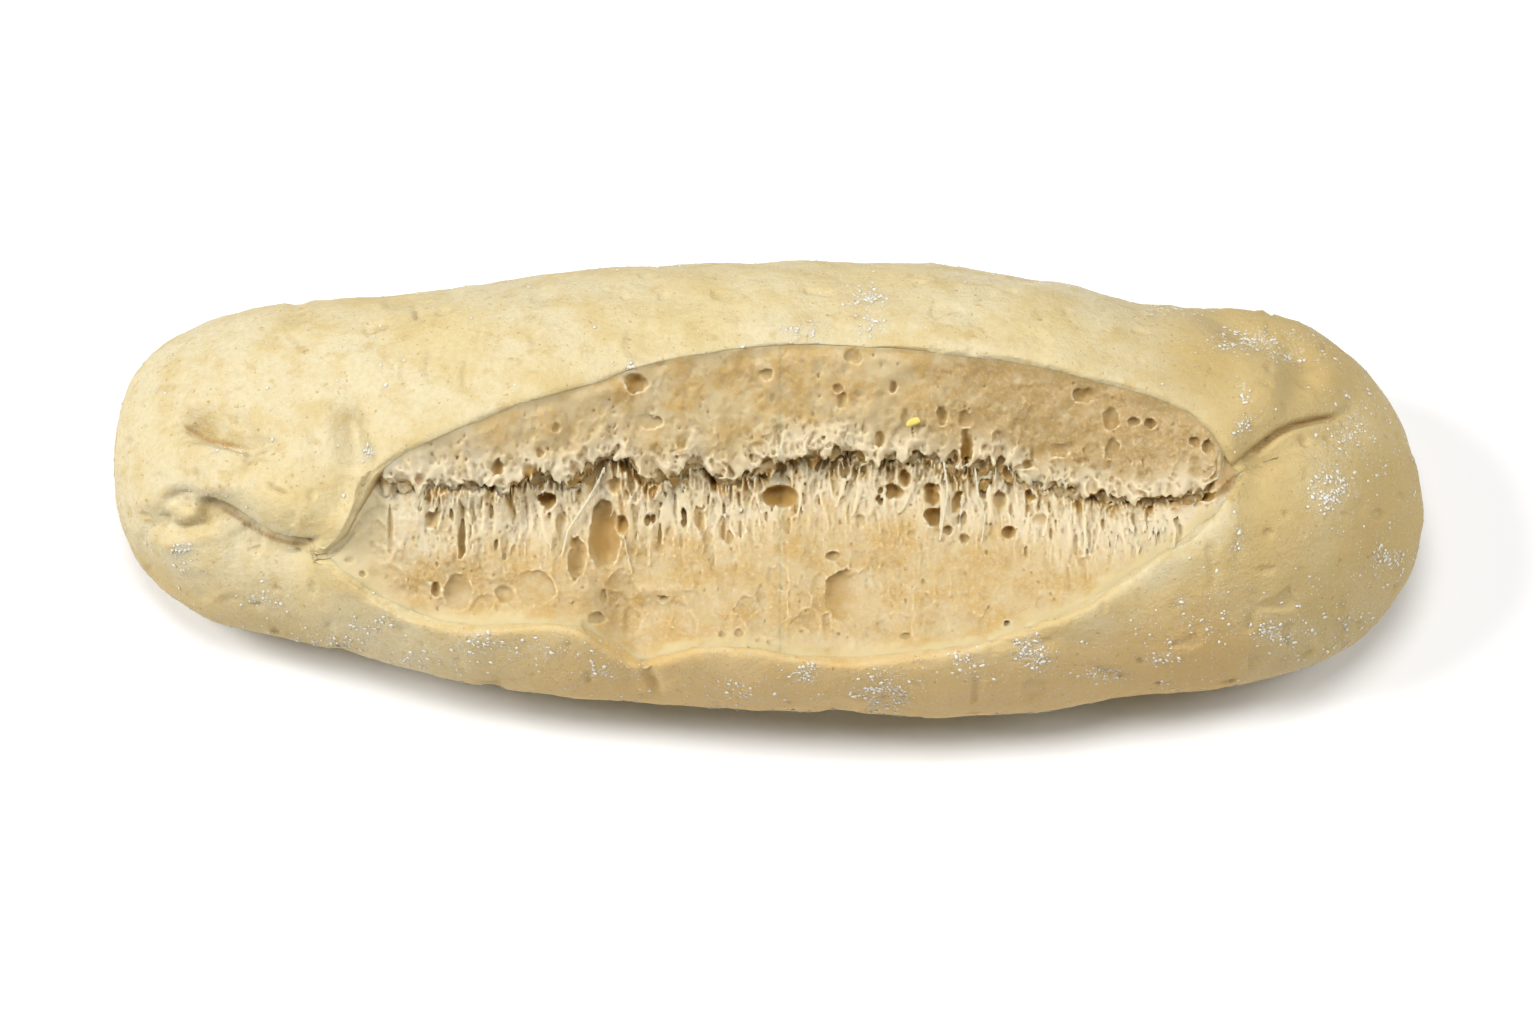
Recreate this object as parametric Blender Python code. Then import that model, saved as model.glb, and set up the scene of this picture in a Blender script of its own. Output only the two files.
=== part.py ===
# A pale, part-baked bread roll whose crust burst open along the top while it baked.
# Metres, +Z up. X runs along the roll, the burst faces -Y, and the roll rests on z = 0.
# Plan sizes and heights in the tables are millimetres; MM turns them into metres.

import math

import bmesh
import bpy
from mathutils import Matrix, Vector, noise

MM = 0.001

# Driving dimensions of the whole roll
LENGTH = 200.0
HALF_LENGTH = LENGTH / 2
LEFT_BLUNTNESS = 12.0  # the left end is squarer in plan than the right
RIGHT_BLUNTNESS = 8.0
ROUNDNESS = 2.2  # exponent of the cross-section, 2 being an ellipse
BULGE_SHARE = 0.38  # height of the widest line, as a share of the roll's height
SPREAD = 1.16  # how far the round underside would dip past the tray, which makes the flat base

# Half width, height and sideways drift of the axis at places along the roll: (x, value)
HALF_WIDTH = [(-100, 24), (-80, 25.6), (-60, 28.5), (-40, 32.0), (-20, 33.9), (0, 35.5), (20, 35.6),
              (40, 34.3), (60, 30.7), (80, 30.8), (100, 27)]
HEIGHT = [(-100, 35), (-80, 37), (-60, 40.5), (-40, 44), (-20, 46), (0, 47), (20, 47),
          (40, 46), (60, 43.5), (80, 41), (100, 36)]
DRIFT = [(-100, 5.5), (-80, 4.7), (-60, 2.9), (-40, 0.9), (-20, 0.5), (0, 0), (20, -0.5),
         (40, -1.4), (60, -1.7), (80, -0.2), (100, -1.0)]

# The burst: plan lines of the crust's two edges, from one tip to the other
LEFT_TIP, RIGHT_TIP = -67.5, 72.0
FAR_LIP = [(-67.5, -17.5), (-64, -15), (-61, -10), (-59.5, -7.5), (-50, -2.5), (-37, 2), (-25, 5.5),
           (-13, 9), (4, 11), (20, 10.5), (36, 9), (51, 6), (64, 1.5), (70, -4.5), (72, -7)]
NEAR_LIP = [(-67.5, -17.5), (-64, -20), (-56, -24.5), (-44, -28), (-28, -29.5), (-19, -33), (-10, -32.2),
            (14, -34), (32, -32.5), (42, -30), (50, -27), (61, -19.5), (68, -14.5), (72, -7)]
TEAR_RUN = [(-67.5, 0), (-60, 3), (-52, 8), (-36, 11.5), (-10, 14.5), (4, 15), (28, 13.8), (50, 14.8),
            (62, 13.5), (69, 7), (72, 0)]  # how far the torn wall runs out from under the far edge
TEAR_DROP = 14.5  # how far that wall falls at the middle of the burst
TEAR_FALL_OFF = 1.35  # how fast the fall eases out towards the tips
CRUST_THICK = 1.3
NEAR_LEDGE = 1.4  # how far the crumb starts inside the near edge
FAR_LEDGE = 0.2
CREVICE_BACK = 2.0  # how far the dark slot runs back under the wall's ragged foot
CREVICE_DROP = 5.0
CREVICE_ROOF_DROP = 2.5
CREVICE_BED_OUT = 1.9  # how far the slot's deepest line lies outside the foot
FLOOR_START_SHARE = 0.27  # where the floor starts, from the foot towards the near edge
FLOOR_START_DROP = 3.5
FLOOR_SAG = 1.2
TIP_BLEND = 0.3  # share of the full opening over which the burst grows from plain crust
TORN_FROM = 0.15  # opening past which a ring's inner points are torn crumb
LIP_GAP_DEG = 5.0  # least angle kept between the two edges, past the tips
LEFT_END_ANGLES = (-20.0, -62.0)
RIGHT_END_ANGLES = (12.0, -32.0)

# Folds of the dough: plan path, depth, width, and rise of the side on the left of the path
FOLDS = [
    {"path": [(-67, -17.5), (-71, -16.5), (-75.5, -14.2), (-80, -11), (-84, -9.3), (-88, -8.8)],
     "depth": 2.2, "width": 2.4, "rise": -1.5},
    {"path": [(-88.5, 3.2), (-85.5, 1.3), (-82.5, -1), (-79, -2)], "depth": 1.9, "width": 2.4, "rise": 0.8},
    {"path": [(-65.5, 4), (-63, 0.5), (-60.5, -5)], "depth": 1.7, "width": 2.6, "rise": 0.3},
    {"path": [(71, -9), (73.6, -5.7), (78.8, -0.8), (83, 2), (86.7, 3.9), (89.5, 6.6)],
     "depth": 3.6, "width": 2.1, "rise": 1.3},
    {"path": [(66, 26), (70.4, 19), (75.3, 15.6), (80, 15), (81.9, 13.2), (81, 9.5), (79.6, 5.4), (77.8, 0)],
     "depth": 2.4, "width": 2.8, "rise": -1.0},
    {"path": [(-20, -31), (-18.3, -34), (-16.4, -35.5)], "depth": 1.1, "width": 2.0, "rise": 0.6},
]
FOLD_FADE = 0.2  # share of a fold's path over which it fades in and out
FOLD_END_SHARE = 0.25  # depth left at its very ends
LEAN_REACH = 2.6  # how far a raised side reaches, in widths

# Swellings and hollows of the crust: plan centre, radius and height
PILLOWS = [(-73, -9, 8, 1.3), (-86, -3, 5, 0.7), (-78, 4, 9, -0.5), (88, 12, 9, 1.0), (70, 12, 14, 0.8),
           (88, -8, 16, 0.8), (-30, 20, 18, 0.7), (30, 22, 20, 0.6), (10, -38, 16, 0.5)]

UNDULATION = 0.55  # slow unevenness of hand-shaped dough
UNDULATION_SIZE = 17.0
BASE_EDGE = 0.01
BASE_FADE = 8.0  # height over which the unevenness grows from nothing at the base
RELIEF = 0.75  # crags of the torn crumb
RELIEF_SIZE = 3.4
TOOTH = 1.3  # how far the wall's ragged foot wanders
TOOTH_SIZE = 2.6

# How many mesh steps each stretch of a ring takes, from the underside round the near side
NEAR_STEPS, FLOOR_STEPS, WALL_STEPS, FAR_STEPS = 14, 9, 9, 18
RING_PITCH = 2.0
EVEN_REACH = 88.0
END_RINGS = 7

CRUST_COLOUR = (0.86, 0.74, 0.47, 1.0)


def along(table, x):
    """Smooth curve through a table of (x, value)."""
    x = min(max(x, table[0][0]), table[-1][0])
    last = len(table) - 1
    i = next(k for k in range(last) if x <= table[k + 1][0])
    (x0, v0), (x1, v1) = table[i], table[i + 1]

    def slope(k):
        if k in (0, last):
            return 0.0
        before = (table[k][1] - table[k - 1][1]) / (table[k][0] - table[k - 1][0])
        after = (table[k + 1][1] - table[k][1]) / (table[k + 1][0] - table[k][0])
        return 0.0 if before * after < 0 else (before + after) / 2

    span = x1 - x0
    t = (x - x0) / span
    start, end = slope(i) * span, slope(i + 1) * span
    return (v0 * (1 + 2 * t) * (1 - t) ** 2 + start * t * (1 - t) ** 2
            + v1 * t * t * (3 - 2 * t) - end * t * t * (1 - t))


def ease(t):
    t = min(max(t, 0.0), 1.0)
    return t * t * (3 - 2 * t)


def mix(a, b, t):
    return a + (b - a) * t


def end_round(x):
    """1 along the roll, falling to 0 at its two tips."""
    bluntness = LEFT_BLUNTNESS if x < 0 else RIGHT_BLUNTNESS
    return max(0.0, 1 - abs(x / HALF_LENGTH) ** bluntness) ** (1 / ROUNDNESS)


def crust_point(x, degrees):
    """(y, z) on the unbroken crust, at an angle from straight up towards the far side."""
    shrink = end_round(x)
    height = along(HEIGHT, x)
    middle = BULGE_SHARE * height
    angle = math.radians(degrees)
    power = 2 / ROUNDNESS
    sideways = math.copysign(abs(math.sin(angle)) ** power, angle)
    upward = math.copysign(abs(math.cos(angle)) ** power, math.cos(angle))
    reach = (height - middle) if upward > 0 else middle * SPREAD
    y = along(DRIFT, x) + along(HALF_WIDTH, x) * shrink * sideways
    return y, max(0.0, middle + reach * shrink * upward)


def angle_at(x, y):
    """The angle at which the unbroken crust lies at plan offset y."""
    share = (y - along(DRIFT, x)) / (along(HALF_WIDTH, x) * end_round(x))
    return math.degrees(math.copysign(math.asin(min(1.0, abs(share)) ** (ROUNDNESS / 2)), share))


def lip_angles(x):
    """Angles of the far and near edges of the burst; past its tips they run on along the ends."""
    inside = min(max(x, LEFT_TIP), RIGHT_TIP)
    far = angle_at(inside, along(FAR_LIP, inside))
    near = angle_at(inside, along(NEAR_LIP, inside))
    spare = max(0.0, LIP_GAP_DEG - (far - near)) / 2
    far, near = far + spare, near - spare
    if x < LEFT_TIP:
        t = ease((LEFT_TIP - x) / (LEFT_TIP + HALF_LENGTH))
        return mix(far, LEFT_END_ANGLES[0], t), mix(near, LEFT_END_ANGLES[1], t)
    if x > RIGHT_TIP:
        t = ease((x - RIGHT_TIP) / (HALF_LENGTH - RIGHT_TIP))
        return mix(far, RIGHT_END_ANGLES[0], t), mix(near, RIGHT_END_ANGLES[1], t)
    return far, near


def opening(x):
    """0 at the tips of the burst and past them, 1 at its middle."""
    middle, reach = (LEFT_TIP + RIGHT_TIP) / 2, (RIGHT_TIP - LEFT_TIP) / 2
    return max(0.0, 1 - ((x - middle) / reach) ** 2) ** 0.5


def spread_between(a, b, steps):
    """Points after a up to and with b, evenly spaced."""
    return [(mix(a[0], b[0], k / steps), mix(a[1], b[1], k / steps)) for k in range(1, steps + 1)]


def burst_points(x, far_angle, near_angle):
    """The torn inside of the burst as (y, z), from the near edge to the far edge, both left out."""
    wide = opening(x)
    near_y, near_z = crust_point(x, near_angle)
    far_y, far_z = crust_point(x, far_angle)
    tooth = TOOTH * wide * noise.noise(Vector((x / TOOTH_SIZE, 0.0, 0.0)))
    foot_y = far_y - along(TEAR_RUN, x) - tooth
    foot_z = far_z - TEAR_DROP * wide ** TEAR_FALL_OFF - tooth / 2
    under_near = (near_y + NEAR_LEDGE * wide, near_z - CRUST_THICK * wide)
    under_far = (far_y - FAR_LEDGE * wide, far_z - CRUST_THICK * wide)
    floor_start = (mix(foot_y, near_y, FLOOR_START_SHARE * wide), foot_z - FLOOR_START_DROP * wide)
    slot_bed = (foot_y - CREVICE_BED_OUT * wide, foot_z - CREVICE_DROP * wide)
    slot_roof = (foot_y + CREVICE_BACK * wide, foot_z - CREVICE_ROOF_DROP * wide)
    floor = [(y, z - FLOOR_SAG * wide * math.sin(math.pi * k / (FLOOR_STEPS - 1)))
             for k, (y, z) in enumerate(spread_between(under_near, floor_start, FLOOR_STEPS - 1), 1)]
    wall = spread_between((foot_y, foot_z), under_far, WALL_STEPS - 1)
    torn = [under_near, *floor, slot_bed, slot_roof, (foot_y, foot_z), *wall]

    # past the tips the same points lie on the crust
    steps = len(torn) + 1
    flat = [crust_point(x, mix(near_angle, far_angle, k / steps)) for k in range(1, steps)]
    blend = ease(wide / TIP_BLEND)
    return [(mix(fy, ty, blend), mix(fz, tz, blend)) for (fy, fz), (ty, tz) in zip(flat, torn)]


def ring_at(x):
    """One closed cross-section as (points, which of them are torn crumb)."""
    far_angle, near_angle = lip_angles(x)
    near = [crust_point(x, mix(-180.0, near_angle, k / NEAR_STEPS)) for k in range(NEAR_STEPS + 1)]
    burst = burst_points(x, far_angle, near_angle)
    far = [crust_point(x, mix(far_angle, 180.0, k / FAR_STEPS)) for k in range(FAR_STEPS)]
    points = [Vector((x, y, z)) for y, z in near + burst + far]
    return points, [False] * len(near) + [opening(x) > TORN_FROM] * len(burst) + [False] * len(far)


def ring_places():
    """Even spacing along the roll, closing up towards the two tips."""
    count = round(EVEN_REACH / RING_PITCH)
    even = [k * RING_PITCH for k in range(-count, count + 1)]
    shares = [1 - (1 - k / (END_RINGS + 1)) ** 2 for k in range(1, END_RINGS + 1)]
    closing = [mix(EVEN_REACH, HALF_LENGTH, share) for share in shares]
    return [-x for x in reversed(closing)] + even + closing


def fold_offset(fold, spot):
    """How far one fold moves the crust in or out at a plan position."""
    path = [Vector(p) for p in fold["path"]]
    total = sum((b - a).length for a, b in zip(path, path[1:]))
    nearest, side, place, walked = math.inf, 0.0, 0.0, 0.0
    for a, b in zip(path, path[1:]):
        run = b - a
        t = min(max((spot - a).dot(run) / run.length_squared, 0.0), 1.0)
        away = spot - (a + run * t)
        if away.length < nearest:
            nearest, side = away.length, run.cross(away) / run.length
            place = (walked + t * run.length) / total
        walked += run.length
    fade = mix(FOLD_END_SHARE, 1.0, ease(min(place, 1 - place) / FOLD_FADE))
    width = fold["width"]
    valley = -fold["depth"] * math.exp(-((nearest / width) ** 2))
    lean = math.tanh(side / width) * math.exp(-((nearest / (LEAN_REACH * width)) ** 2))
    return fade * (valley + fold["rise"] * lean)


def crust_offset(co, on_top):
    """Slow unevenness everywhere, with folds and swellings on the upper side."""
    spot = Vector((co.x, co.y))
    offset = UNDULATION * noise.fractal(co / UNDULATION_SIZE, 1.0, 2.0, 3)
    if not on_top:
        return offset
    for x, y, radius, height in PILLOWS:
        offset += height * math.exp(-((spot - Vector((x, y))).length / radius) ** 2)
    for fold in FOLDS:
        offset += fold_offset(fold, spot)
    return offset


def crumb_offset(co):
    """Crags of the torn crumb."""
    return RELIEF * noise.fractal(co / RELIEF_SIZE, 1.0, 2.0, 2)


def outward(co):
    """Direction straight out of the plain roll, the same for its crust and for the crumb under it."""
    bluntness = LEFT_BLUNTNESS if co.x < 0 else RIGHT_BLUNTNESS
    height = along(HEIGHT, co.x)
    middle = BULGE_SHARE * height
    terms = ((co.x, HALF_LENGTH, bluntness),
             (co.y - along(DRIFT, co.x), along(HALF_WIDTH, co.x), ROUNDNESS),
             (co.z - middle, height - middle, ROUNDNESS))
    slopes = [math.copysign(power / size * abs(d / size) ** (power - 1), d) for d, size, power in terms]
    return Vector(slopes).normalized()


def shape_surface(bm, torn):
    """Folds and unevenness of the dough, then crags in the crumb; the base stays flat."""
    for vert in bm.verts:
        if vert.co.z > BASE_EDGE:
            way = outward(vert.co)
            vert.co += way * crust_offset(vert.co, way.z > 0) * ease(vert.co.z / BASE_FADE)
    bm.normal_update()
    for vert in torn:
        vert.co += vert.normal * crumb_offset(vert.co)
    for vert in bm.verts:
        vert.co.z = max(0.0, vert.co.z)


def build_roll():
    """Rings skinned from end to end and closed at the two tips."""
    bm = bmesh.new()
    rings, torn = [], set()
    for x in ring_places():
        points, is_torn = ring_at(x)
        ring = [bm.verts.new(p) for p in points]
        torn |= {vert for vert, flag in zip(ring, is_torn) if flag}
        rings.append(ring)
    for one, two in zip(rings, rings[1:]):
        for k in range(len(one)):
            j = (k + 1) % len(one)
            bm.faces.new((one[k], one[j], two[j], two[k]))
    for ring, x in ((rings[0], -HALF_LENGTH), (rings[-1], HALF_LENGTH)):
        tip = bm.verts.new((x, along(DRIFT, x), BULGE_SHARE * along(HEIGHT, x)))
        for k in range(len(ring)):
            bm.faces.new((ring[k], tip, ring[(k + 1) % len(ring)]))
    bmesh.ops.recalc_face_normals(bm, faces=bm.faces)
    if bm.calc_volume(signed=True) < 0:
        bmesh.ops.reverse_faces(bm, faces=bm.faces)
    shape_surface(bm, torn)
    centre_on_base(bm)
    bmesh.ops.triangulate(bm, faces=bm.faces)
    mesh = bpy.data.meshes.new("bread_roll")
    bm.to_mesh(mesh)
    bm.free()
    return mesh


def centre_on_base(bm):
    """Puts the middle of the plan box at the origin, and turns millimetres into metres."""
    lows = [min(v.co[axis] for v in bm.verts) for axis in range(3)]
    highs = [max(v.co[axis] for v in bm.verts) for axis in range(3)]
    shift = Vector((-(lows[0] + highs[0]) / 2, -(lows[1] + highs[1]) / 2, -lows[2]))
    bmesh.ops.translate(bm, verts=bm.verts, vec=shift)
    bmesh.ops.transform(bm, verts=bm.verts, matrix=Matrix.Scale(MM, 4))


def crust_material():
    material = bpy.data.materials.new("pale_crust")
    material.use_nodes = True
    shader = material.node_tree.nodes["Principled BSDF"]
    shader.inputs["Base Color"].default_value = CRUST_COLOUR
    shader.inputs["Roughness"].default_value = 0.75
    shader.inputs["Metallic"].default_value = 0.0
    return material


def main():
    for old in list(bpy.data.objects):
        bpy.data.objects.remove(old)
    mesh = build_roll()
    mesh.materials.append(crust_material())
    mesh.shade_smooth()
    roll = bpy.data.objects.new("bread_roll", mesh)
    bpy.context.scene.collection.objects.link(roll)


main()
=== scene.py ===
# A pale part-baked bread roll whose crust burst open along the top, on a white table:
# smooth floury crust, torn crumb with strands over a dark crevice, loose flour.
# Lengths are in mm in the dictionaries below, and places are pixels of the 1536 x 1024 picture.
import math

import bmesh
import bpy
import numpy as np
import openvdb
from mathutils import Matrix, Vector
from mathutils.bvhtree import BVHTree


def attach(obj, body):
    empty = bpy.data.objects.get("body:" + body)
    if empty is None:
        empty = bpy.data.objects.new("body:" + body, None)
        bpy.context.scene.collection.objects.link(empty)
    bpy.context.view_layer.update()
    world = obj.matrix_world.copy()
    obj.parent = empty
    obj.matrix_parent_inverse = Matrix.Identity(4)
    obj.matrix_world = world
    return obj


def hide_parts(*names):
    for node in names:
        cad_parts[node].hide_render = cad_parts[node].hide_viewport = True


mm = 0.001
scene = bpy.context.scene

print("Loading the CAD frame")
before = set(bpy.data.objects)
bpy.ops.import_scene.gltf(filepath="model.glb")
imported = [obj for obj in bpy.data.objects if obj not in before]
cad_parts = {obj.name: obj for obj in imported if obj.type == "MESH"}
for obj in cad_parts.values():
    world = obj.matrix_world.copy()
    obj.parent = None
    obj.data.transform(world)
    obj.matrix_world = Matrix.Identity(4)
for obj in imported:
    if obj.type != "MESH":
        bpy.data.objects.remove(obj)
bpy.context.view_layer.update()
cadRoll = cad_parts["bread_roll"]

# Camera, as the picture was taken: from the burst's side, 65 degrees up. Here lengths are in m.
view = {
    "imageSize": (1536, 1024),
    "elevation": 65,
    "distance": 1.17,
    "target": (0.0002, -0.0044, 0.0205),
    "lens": 180,
    "sensor": 36,
}
tilt = math.radians(view["elevation"])
towardsCamera = Vector((0, -math.cos(tilt), math.sin(tilt)))
upInPicture = Vector((0, math.sin(tilt), math.cos(tilt)))
target = Vector(view["target"])
cameraPlace = target + towardsCamera * view["distance"]
imageWidth, imageHeight = view["imageSize"]
focus = view["lens"] / view["sensor"] * imageWidth  # focal length in pixels
pixelsPerMm = focus / view["distance"] * mm


def addCamera():
    data = bpy.data.cameras.new("camera")
    data.lens = view["lens"]
    data.sensor_width = view["sensor"]
    camera = bpy.data.objects.new("camera", data)
    scene.collection.objects.link(camera)
    camera.location = cameraPlace
    camera.rotation_euler = (-towardsCamera).to_track_quat("-Z", "Y").to_euler()
    scene.camera = camera


# Picture places and back. "rise" is the height in mm above the plane through the target
# that faces the camera.
def placeAt(px, py, rise):
    depth = view["distance"] - np.asarray(rise) * mm
    side = (np.asarray(px) - imageWidth / 2) / focus * depth
    up = (imageHeight / 2 - np.asarray(py)) / focus * depth
    return (np.multiply.outer(side, (1.0, 0.0, 0.0)) + np.multiply.outer(up, tuple(upInPicture))
            - np.multiply.outer(depth, tuple(towardsCamera)) + np.array(cameraPlace))


def seenAt(places):
    away = np.asarray(places) - np.array(cameraPlace)
    depth = -away @ np.array(towardsCamera)
    px = imageWidth / 2 + away[:, 0] / depth * focus
    py = imageHeight / 2 - away @ np.array(upInPicture) / depth * focus
    return px, py, (view["distance"] - depth) / mm


# The CAD roll with its loose triangles merged, to lay things on
def mergedRoll():
    bm = bmesh.new()
    bm.from_mesh(cadRoll.data)
    bmesh.ops.remove_doubles(bm, verts=bm.verts, dist=0.01 * mm)
    return bm


rollBm = mergedRoll()
rollTree = BVHTree.FromBMesh(rollBm)
rollBm.free()


def riseOn(tree, px, py):
    # rise of a surface at a place of the picture
    way = (Vector(placeAt(px, py, 0.0)) - cameraPlace).normalized()
    hit = tree.ray_cast(cameraPlace, way)[0]
    return (hit - target).dot(towardsCamera) / mm


def cadRise(px, py):
    return riseOn(rollTree, px, py)


# Smooth random values from -1 to 1, with bumps about one unit apart
randomTable = np.random.default_rng(11).uniform(-1, 1, (64, 64, 64)).astype(np.float32)


def softNoise(x, y, z=0.0):
    x, y, z = np.broadcast_arrays(*(np.asarray(v, dtype=np.float32) for v in (x, y, z)))
    cell, part = [], []
    for v in (x, y, z):
        low = np.floor(v)
        t = v - low
        cell.append(low.astype(np.int64) & 63)
        part.append(t * t * (3 - 2 * t))
    total = np.zeros(x.shape, np.float32)
    for i in (0, 1):
        for j in (0, 1):
            for k in (0, 1):
                weight = ((part[0] if i else 1 - part[0]) * (part[1] if j else 1 - part[1])
                          * (part[2] if k else 1 - part[2]))
                total += weight * randomTable[(cell[0] + i) & 63, (cell[1] + j) & 63, (cell[2] + k) & 63]
    return total


def layeredNoise(x, y, z=0.0, layers=3):
    total, size = 0.0, 1.0
    for layer in range(layers):
        total = total + softNoise(x * size + 17.3 * layer, y * size + 5.1 * layer, z * size) / size
        size *= 2
    return total / 1.6


# Cells like soap bubbles in a plane: distance to the nearest wall between two of them, and a
# number for each cell
def bubbleCells(x, y, layer=0):
    column, row = np.floor(x).astype(np.int64), np.floor(y).astype(np.int64)
    first = np.full(x.shape, 9.0)
    second = np.full(x.shape, 9.0)
    name = np.zeros(x.shape)
    for i in (-1, 0, 1):
        for j in (-1, 0, 1):
            a, b = (column + i) & 63, (row + j) & 63
            spotX = column + i + 0.5 + 0.45 * randomTable[a, b, layer]
            spotY = row + j + 0.5 + 0.45 * randomTable[a, b, layer + 1]
            away = np.hypot(x - spotX, y - spotY)
            closer = away < first
            second = np.where(closer, first, np.minimum(second, away))
            name = np.where(closer, randomTable[a, b, layer + 2], name)
            first = np.where(closer, away, first)
    return second - first, name


# Sum of noises in a plane: height in mm, spacing across and along in mm, and a seed
def waves(x, y, layers):
    return sum(height * softNoise(x / across, y / along, seed) for height, across, along, seed in layers)


def ease(t):
    t = np.clip(t, 0, 1)
    return t * t * (3 - 2 * t)


def bell(t):
    return np.exp(-np.square(t))


# The burst in the picture, from its left tip to its right tip
burst = {
    "upperLip": [
        (325, 553), (345, 532), (359, 505), (375, 475), (400, 455), (440, 435), (480, 420), (520, 403),
        (560, 392), (600, 382), (640, 367), (680, 357), (730, 350), (790, 346), (850, 346), (900, 350),
        (950, 355), (1000, 360), (1050, 368), (1100, 382), (1150, 395), (1190, 412), (1215, 435),
        (1228, 458), (1238, 472),
    ],
    "nearLip": [
        (325, 553), (345, 572), (375, 592), (400, 606), (440, 620), (480, 624), (530, 622), (580, 625),
        (620, 645), (640, 660), (680, 650), (740, 646), (800, 655), (860, 656), (920, 650), (980, 643),
        (1040, 622), (1090, 598), (1130, 572), (1170, 545), (1210, 515), (1228, 490), (1238, 472),
    ],
    "tornEdge": [
        (325, 555), (345, 535), (359, 509), (372, 486), (386, 488), (400, 486), (425, 488), (450, 486),
        (480, 482), (510, 490), (540, 474), (565, 478), (600, 458), (625, 458), (645, 484), (680, 466),
        (700, 462), (725, 484), (760, 470), (785, 455), (820, 452), (850, 446), (880, 458), (920, 452),
        (960, 468), (1000, 458), (1040, 486), (1080, 494), (1120, 497), (1160, 500), (1200, 492),
        (1225, 478), (1238, 472),
    ],
    "lineSoftness": 5,  # pixels over which a drawn corner is rounded
}
allX = np.arange(imageWidth)


def drawnLine(points, softness):
    ys = np.interp(allX, [p[0] for p in points], [p[1] for p in points])
    kernel = np.hanning(2 * softness + 3)[1:-1]
    return np.convolve(np.pad(ys, softness, mode="edge"), kernel / kernel.sum(), mode="valid")


upperLip = drawnLine(burst["upperLip"], burst["lineSoftness"])
nearLip = drawnLine(burst["nearLip"], burst["lineSoftness"])
tornEdge = drawnLine(burst["tornEdge"], burst["lineSoftness"])
upperSlant = np.sqrt(1 + np.gradient(upperLip) ** 2)
nearSlant = np.sqrt(1 + np.gradient(nearLip) ** 2)
leftTip, rightTip = burst["upperLip"][0][0], burst["upperLip"][-1][0]


def lineAt(line, px):
    return np.interp(px, allX, line)


def insideBurst(px, py):
    # mm to the nearer lip, positive inside
    fromUpper = (py - lineAt(upperLip, px)) / lineAt(upperSlant, px)
    fromNear = (lineAt(nearLip, px) - py) / lineAt(nearSlant, px)
    pastTip = np.maximum(np.maximum(leftTip - px, px - rightTip), 0)
    return (np.minimum(fromUpper, fromNear) - pastTip) / pixelsPerMm


# Plain surfaces of the torn wall and of the floor, straight across the burst in every column of the picture
def columnPlanes(upperLine, lowerLine, shares):
    xs = np.arange(leftTip + 16, rightTip - 12, 6)
    ends = []
    for share in shares:
        ys = lineAt(upperLine, xs) * (1 - share) + lineAt(lowerLine, xs) * share
        rises = np.array([cadRise(x, y) for x, y in zip(xs, ys)])
        ends.append((drawnLine(list(zip(xs, ys)), 12), drawnLine(list(zip(xs, rises)), 24)))
    return ends


wallPlane = columnPlanes(upperLip, tornEdge, (0.2, 0.8))
floorPlane = columnPlanes(tornEdge, nearLip, (0.4, 0.9))

# Rise of a surface over the burst and a little past its lips, read every few pixels
mapStep = 3
mapPast = 30
mapX = np.arange(leftTip - 20, rightTip + 20, mapStep)
mapY = np.arange(upperLip.min() - 20, nearLip.max() + 25, mapStep)


def mapRise(tree):
    columns = []
    for x in mapX:
        rows = np.clip(mapY, lineAt(upperLip, x) - mapPast, lineAt(nearLip, x) + mapPast)
        columns.append([riseOn(tree, x, y) for y in rows])
    return np.array(columns)


def mappedRise(riseMap, px, py):
    column = np.clip((px - mapX[0]) / mapStep, 0, len(mapX) - 1.001)
    row = np.clip((py - mapY[0]) / mapStep, 0, len(mapY) - 1.001)
    i, j = column.astype(int), row.astype(int)
    u, v = column - i, row - j
    return ((riseMap[i, j] * (1 - u) + riseMap[i + 1, j] * u) * (1 - v)
            + (riseMap[i, j + 1] * (1 - u) + riseMap[i + 1, j + 1] * u) * v)


def planeRise(plane, px, py):
    (y0, r0), (y1, r1) = plane
    startY, startRise = lineAt(y0, px), lineAt(r0, px)
    gap = np.maximum(lineAt(y1, px) - startY, 12)
    return startRise + np.clip((py - startY) / gap, -1.4, 2.4) * (lineAt(r1, px) - startRise)


# Crust
crustLook = {
    "lumps": [(14, 0.35), (5.5, 0.2), (2.4, 0.1), (1.1, 0.04)],  # spacing and height of uneven dough
    "hollows": [(7.5, 0.5, 0.42), (2.8, 0.4, 0.5)],  # spacing, depth and rareness of loose dimples
    "joinAngle": 3.14,    # triangles of the CAD mesh are paired whatever the angle between them
    "levels": 3,          # of subdivision
    "longestEdge": 0.55,  # where the CAD mesh is coarse, it is cut finer than this
    # sharp folds get a painted shade line along their bottom
    "sharpFold": 0.65,    # folds narrower than this keep a dark line
    "triangles": 190000,
    "lipWidth": 1.3,      # how far inside the lip the crust has rolled over and gone down
    "lipSink": 3.4,       # how far under the crumb it then lies
    "lipPuff": 0.2,       # the edge is slightly swollen
}
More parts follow.
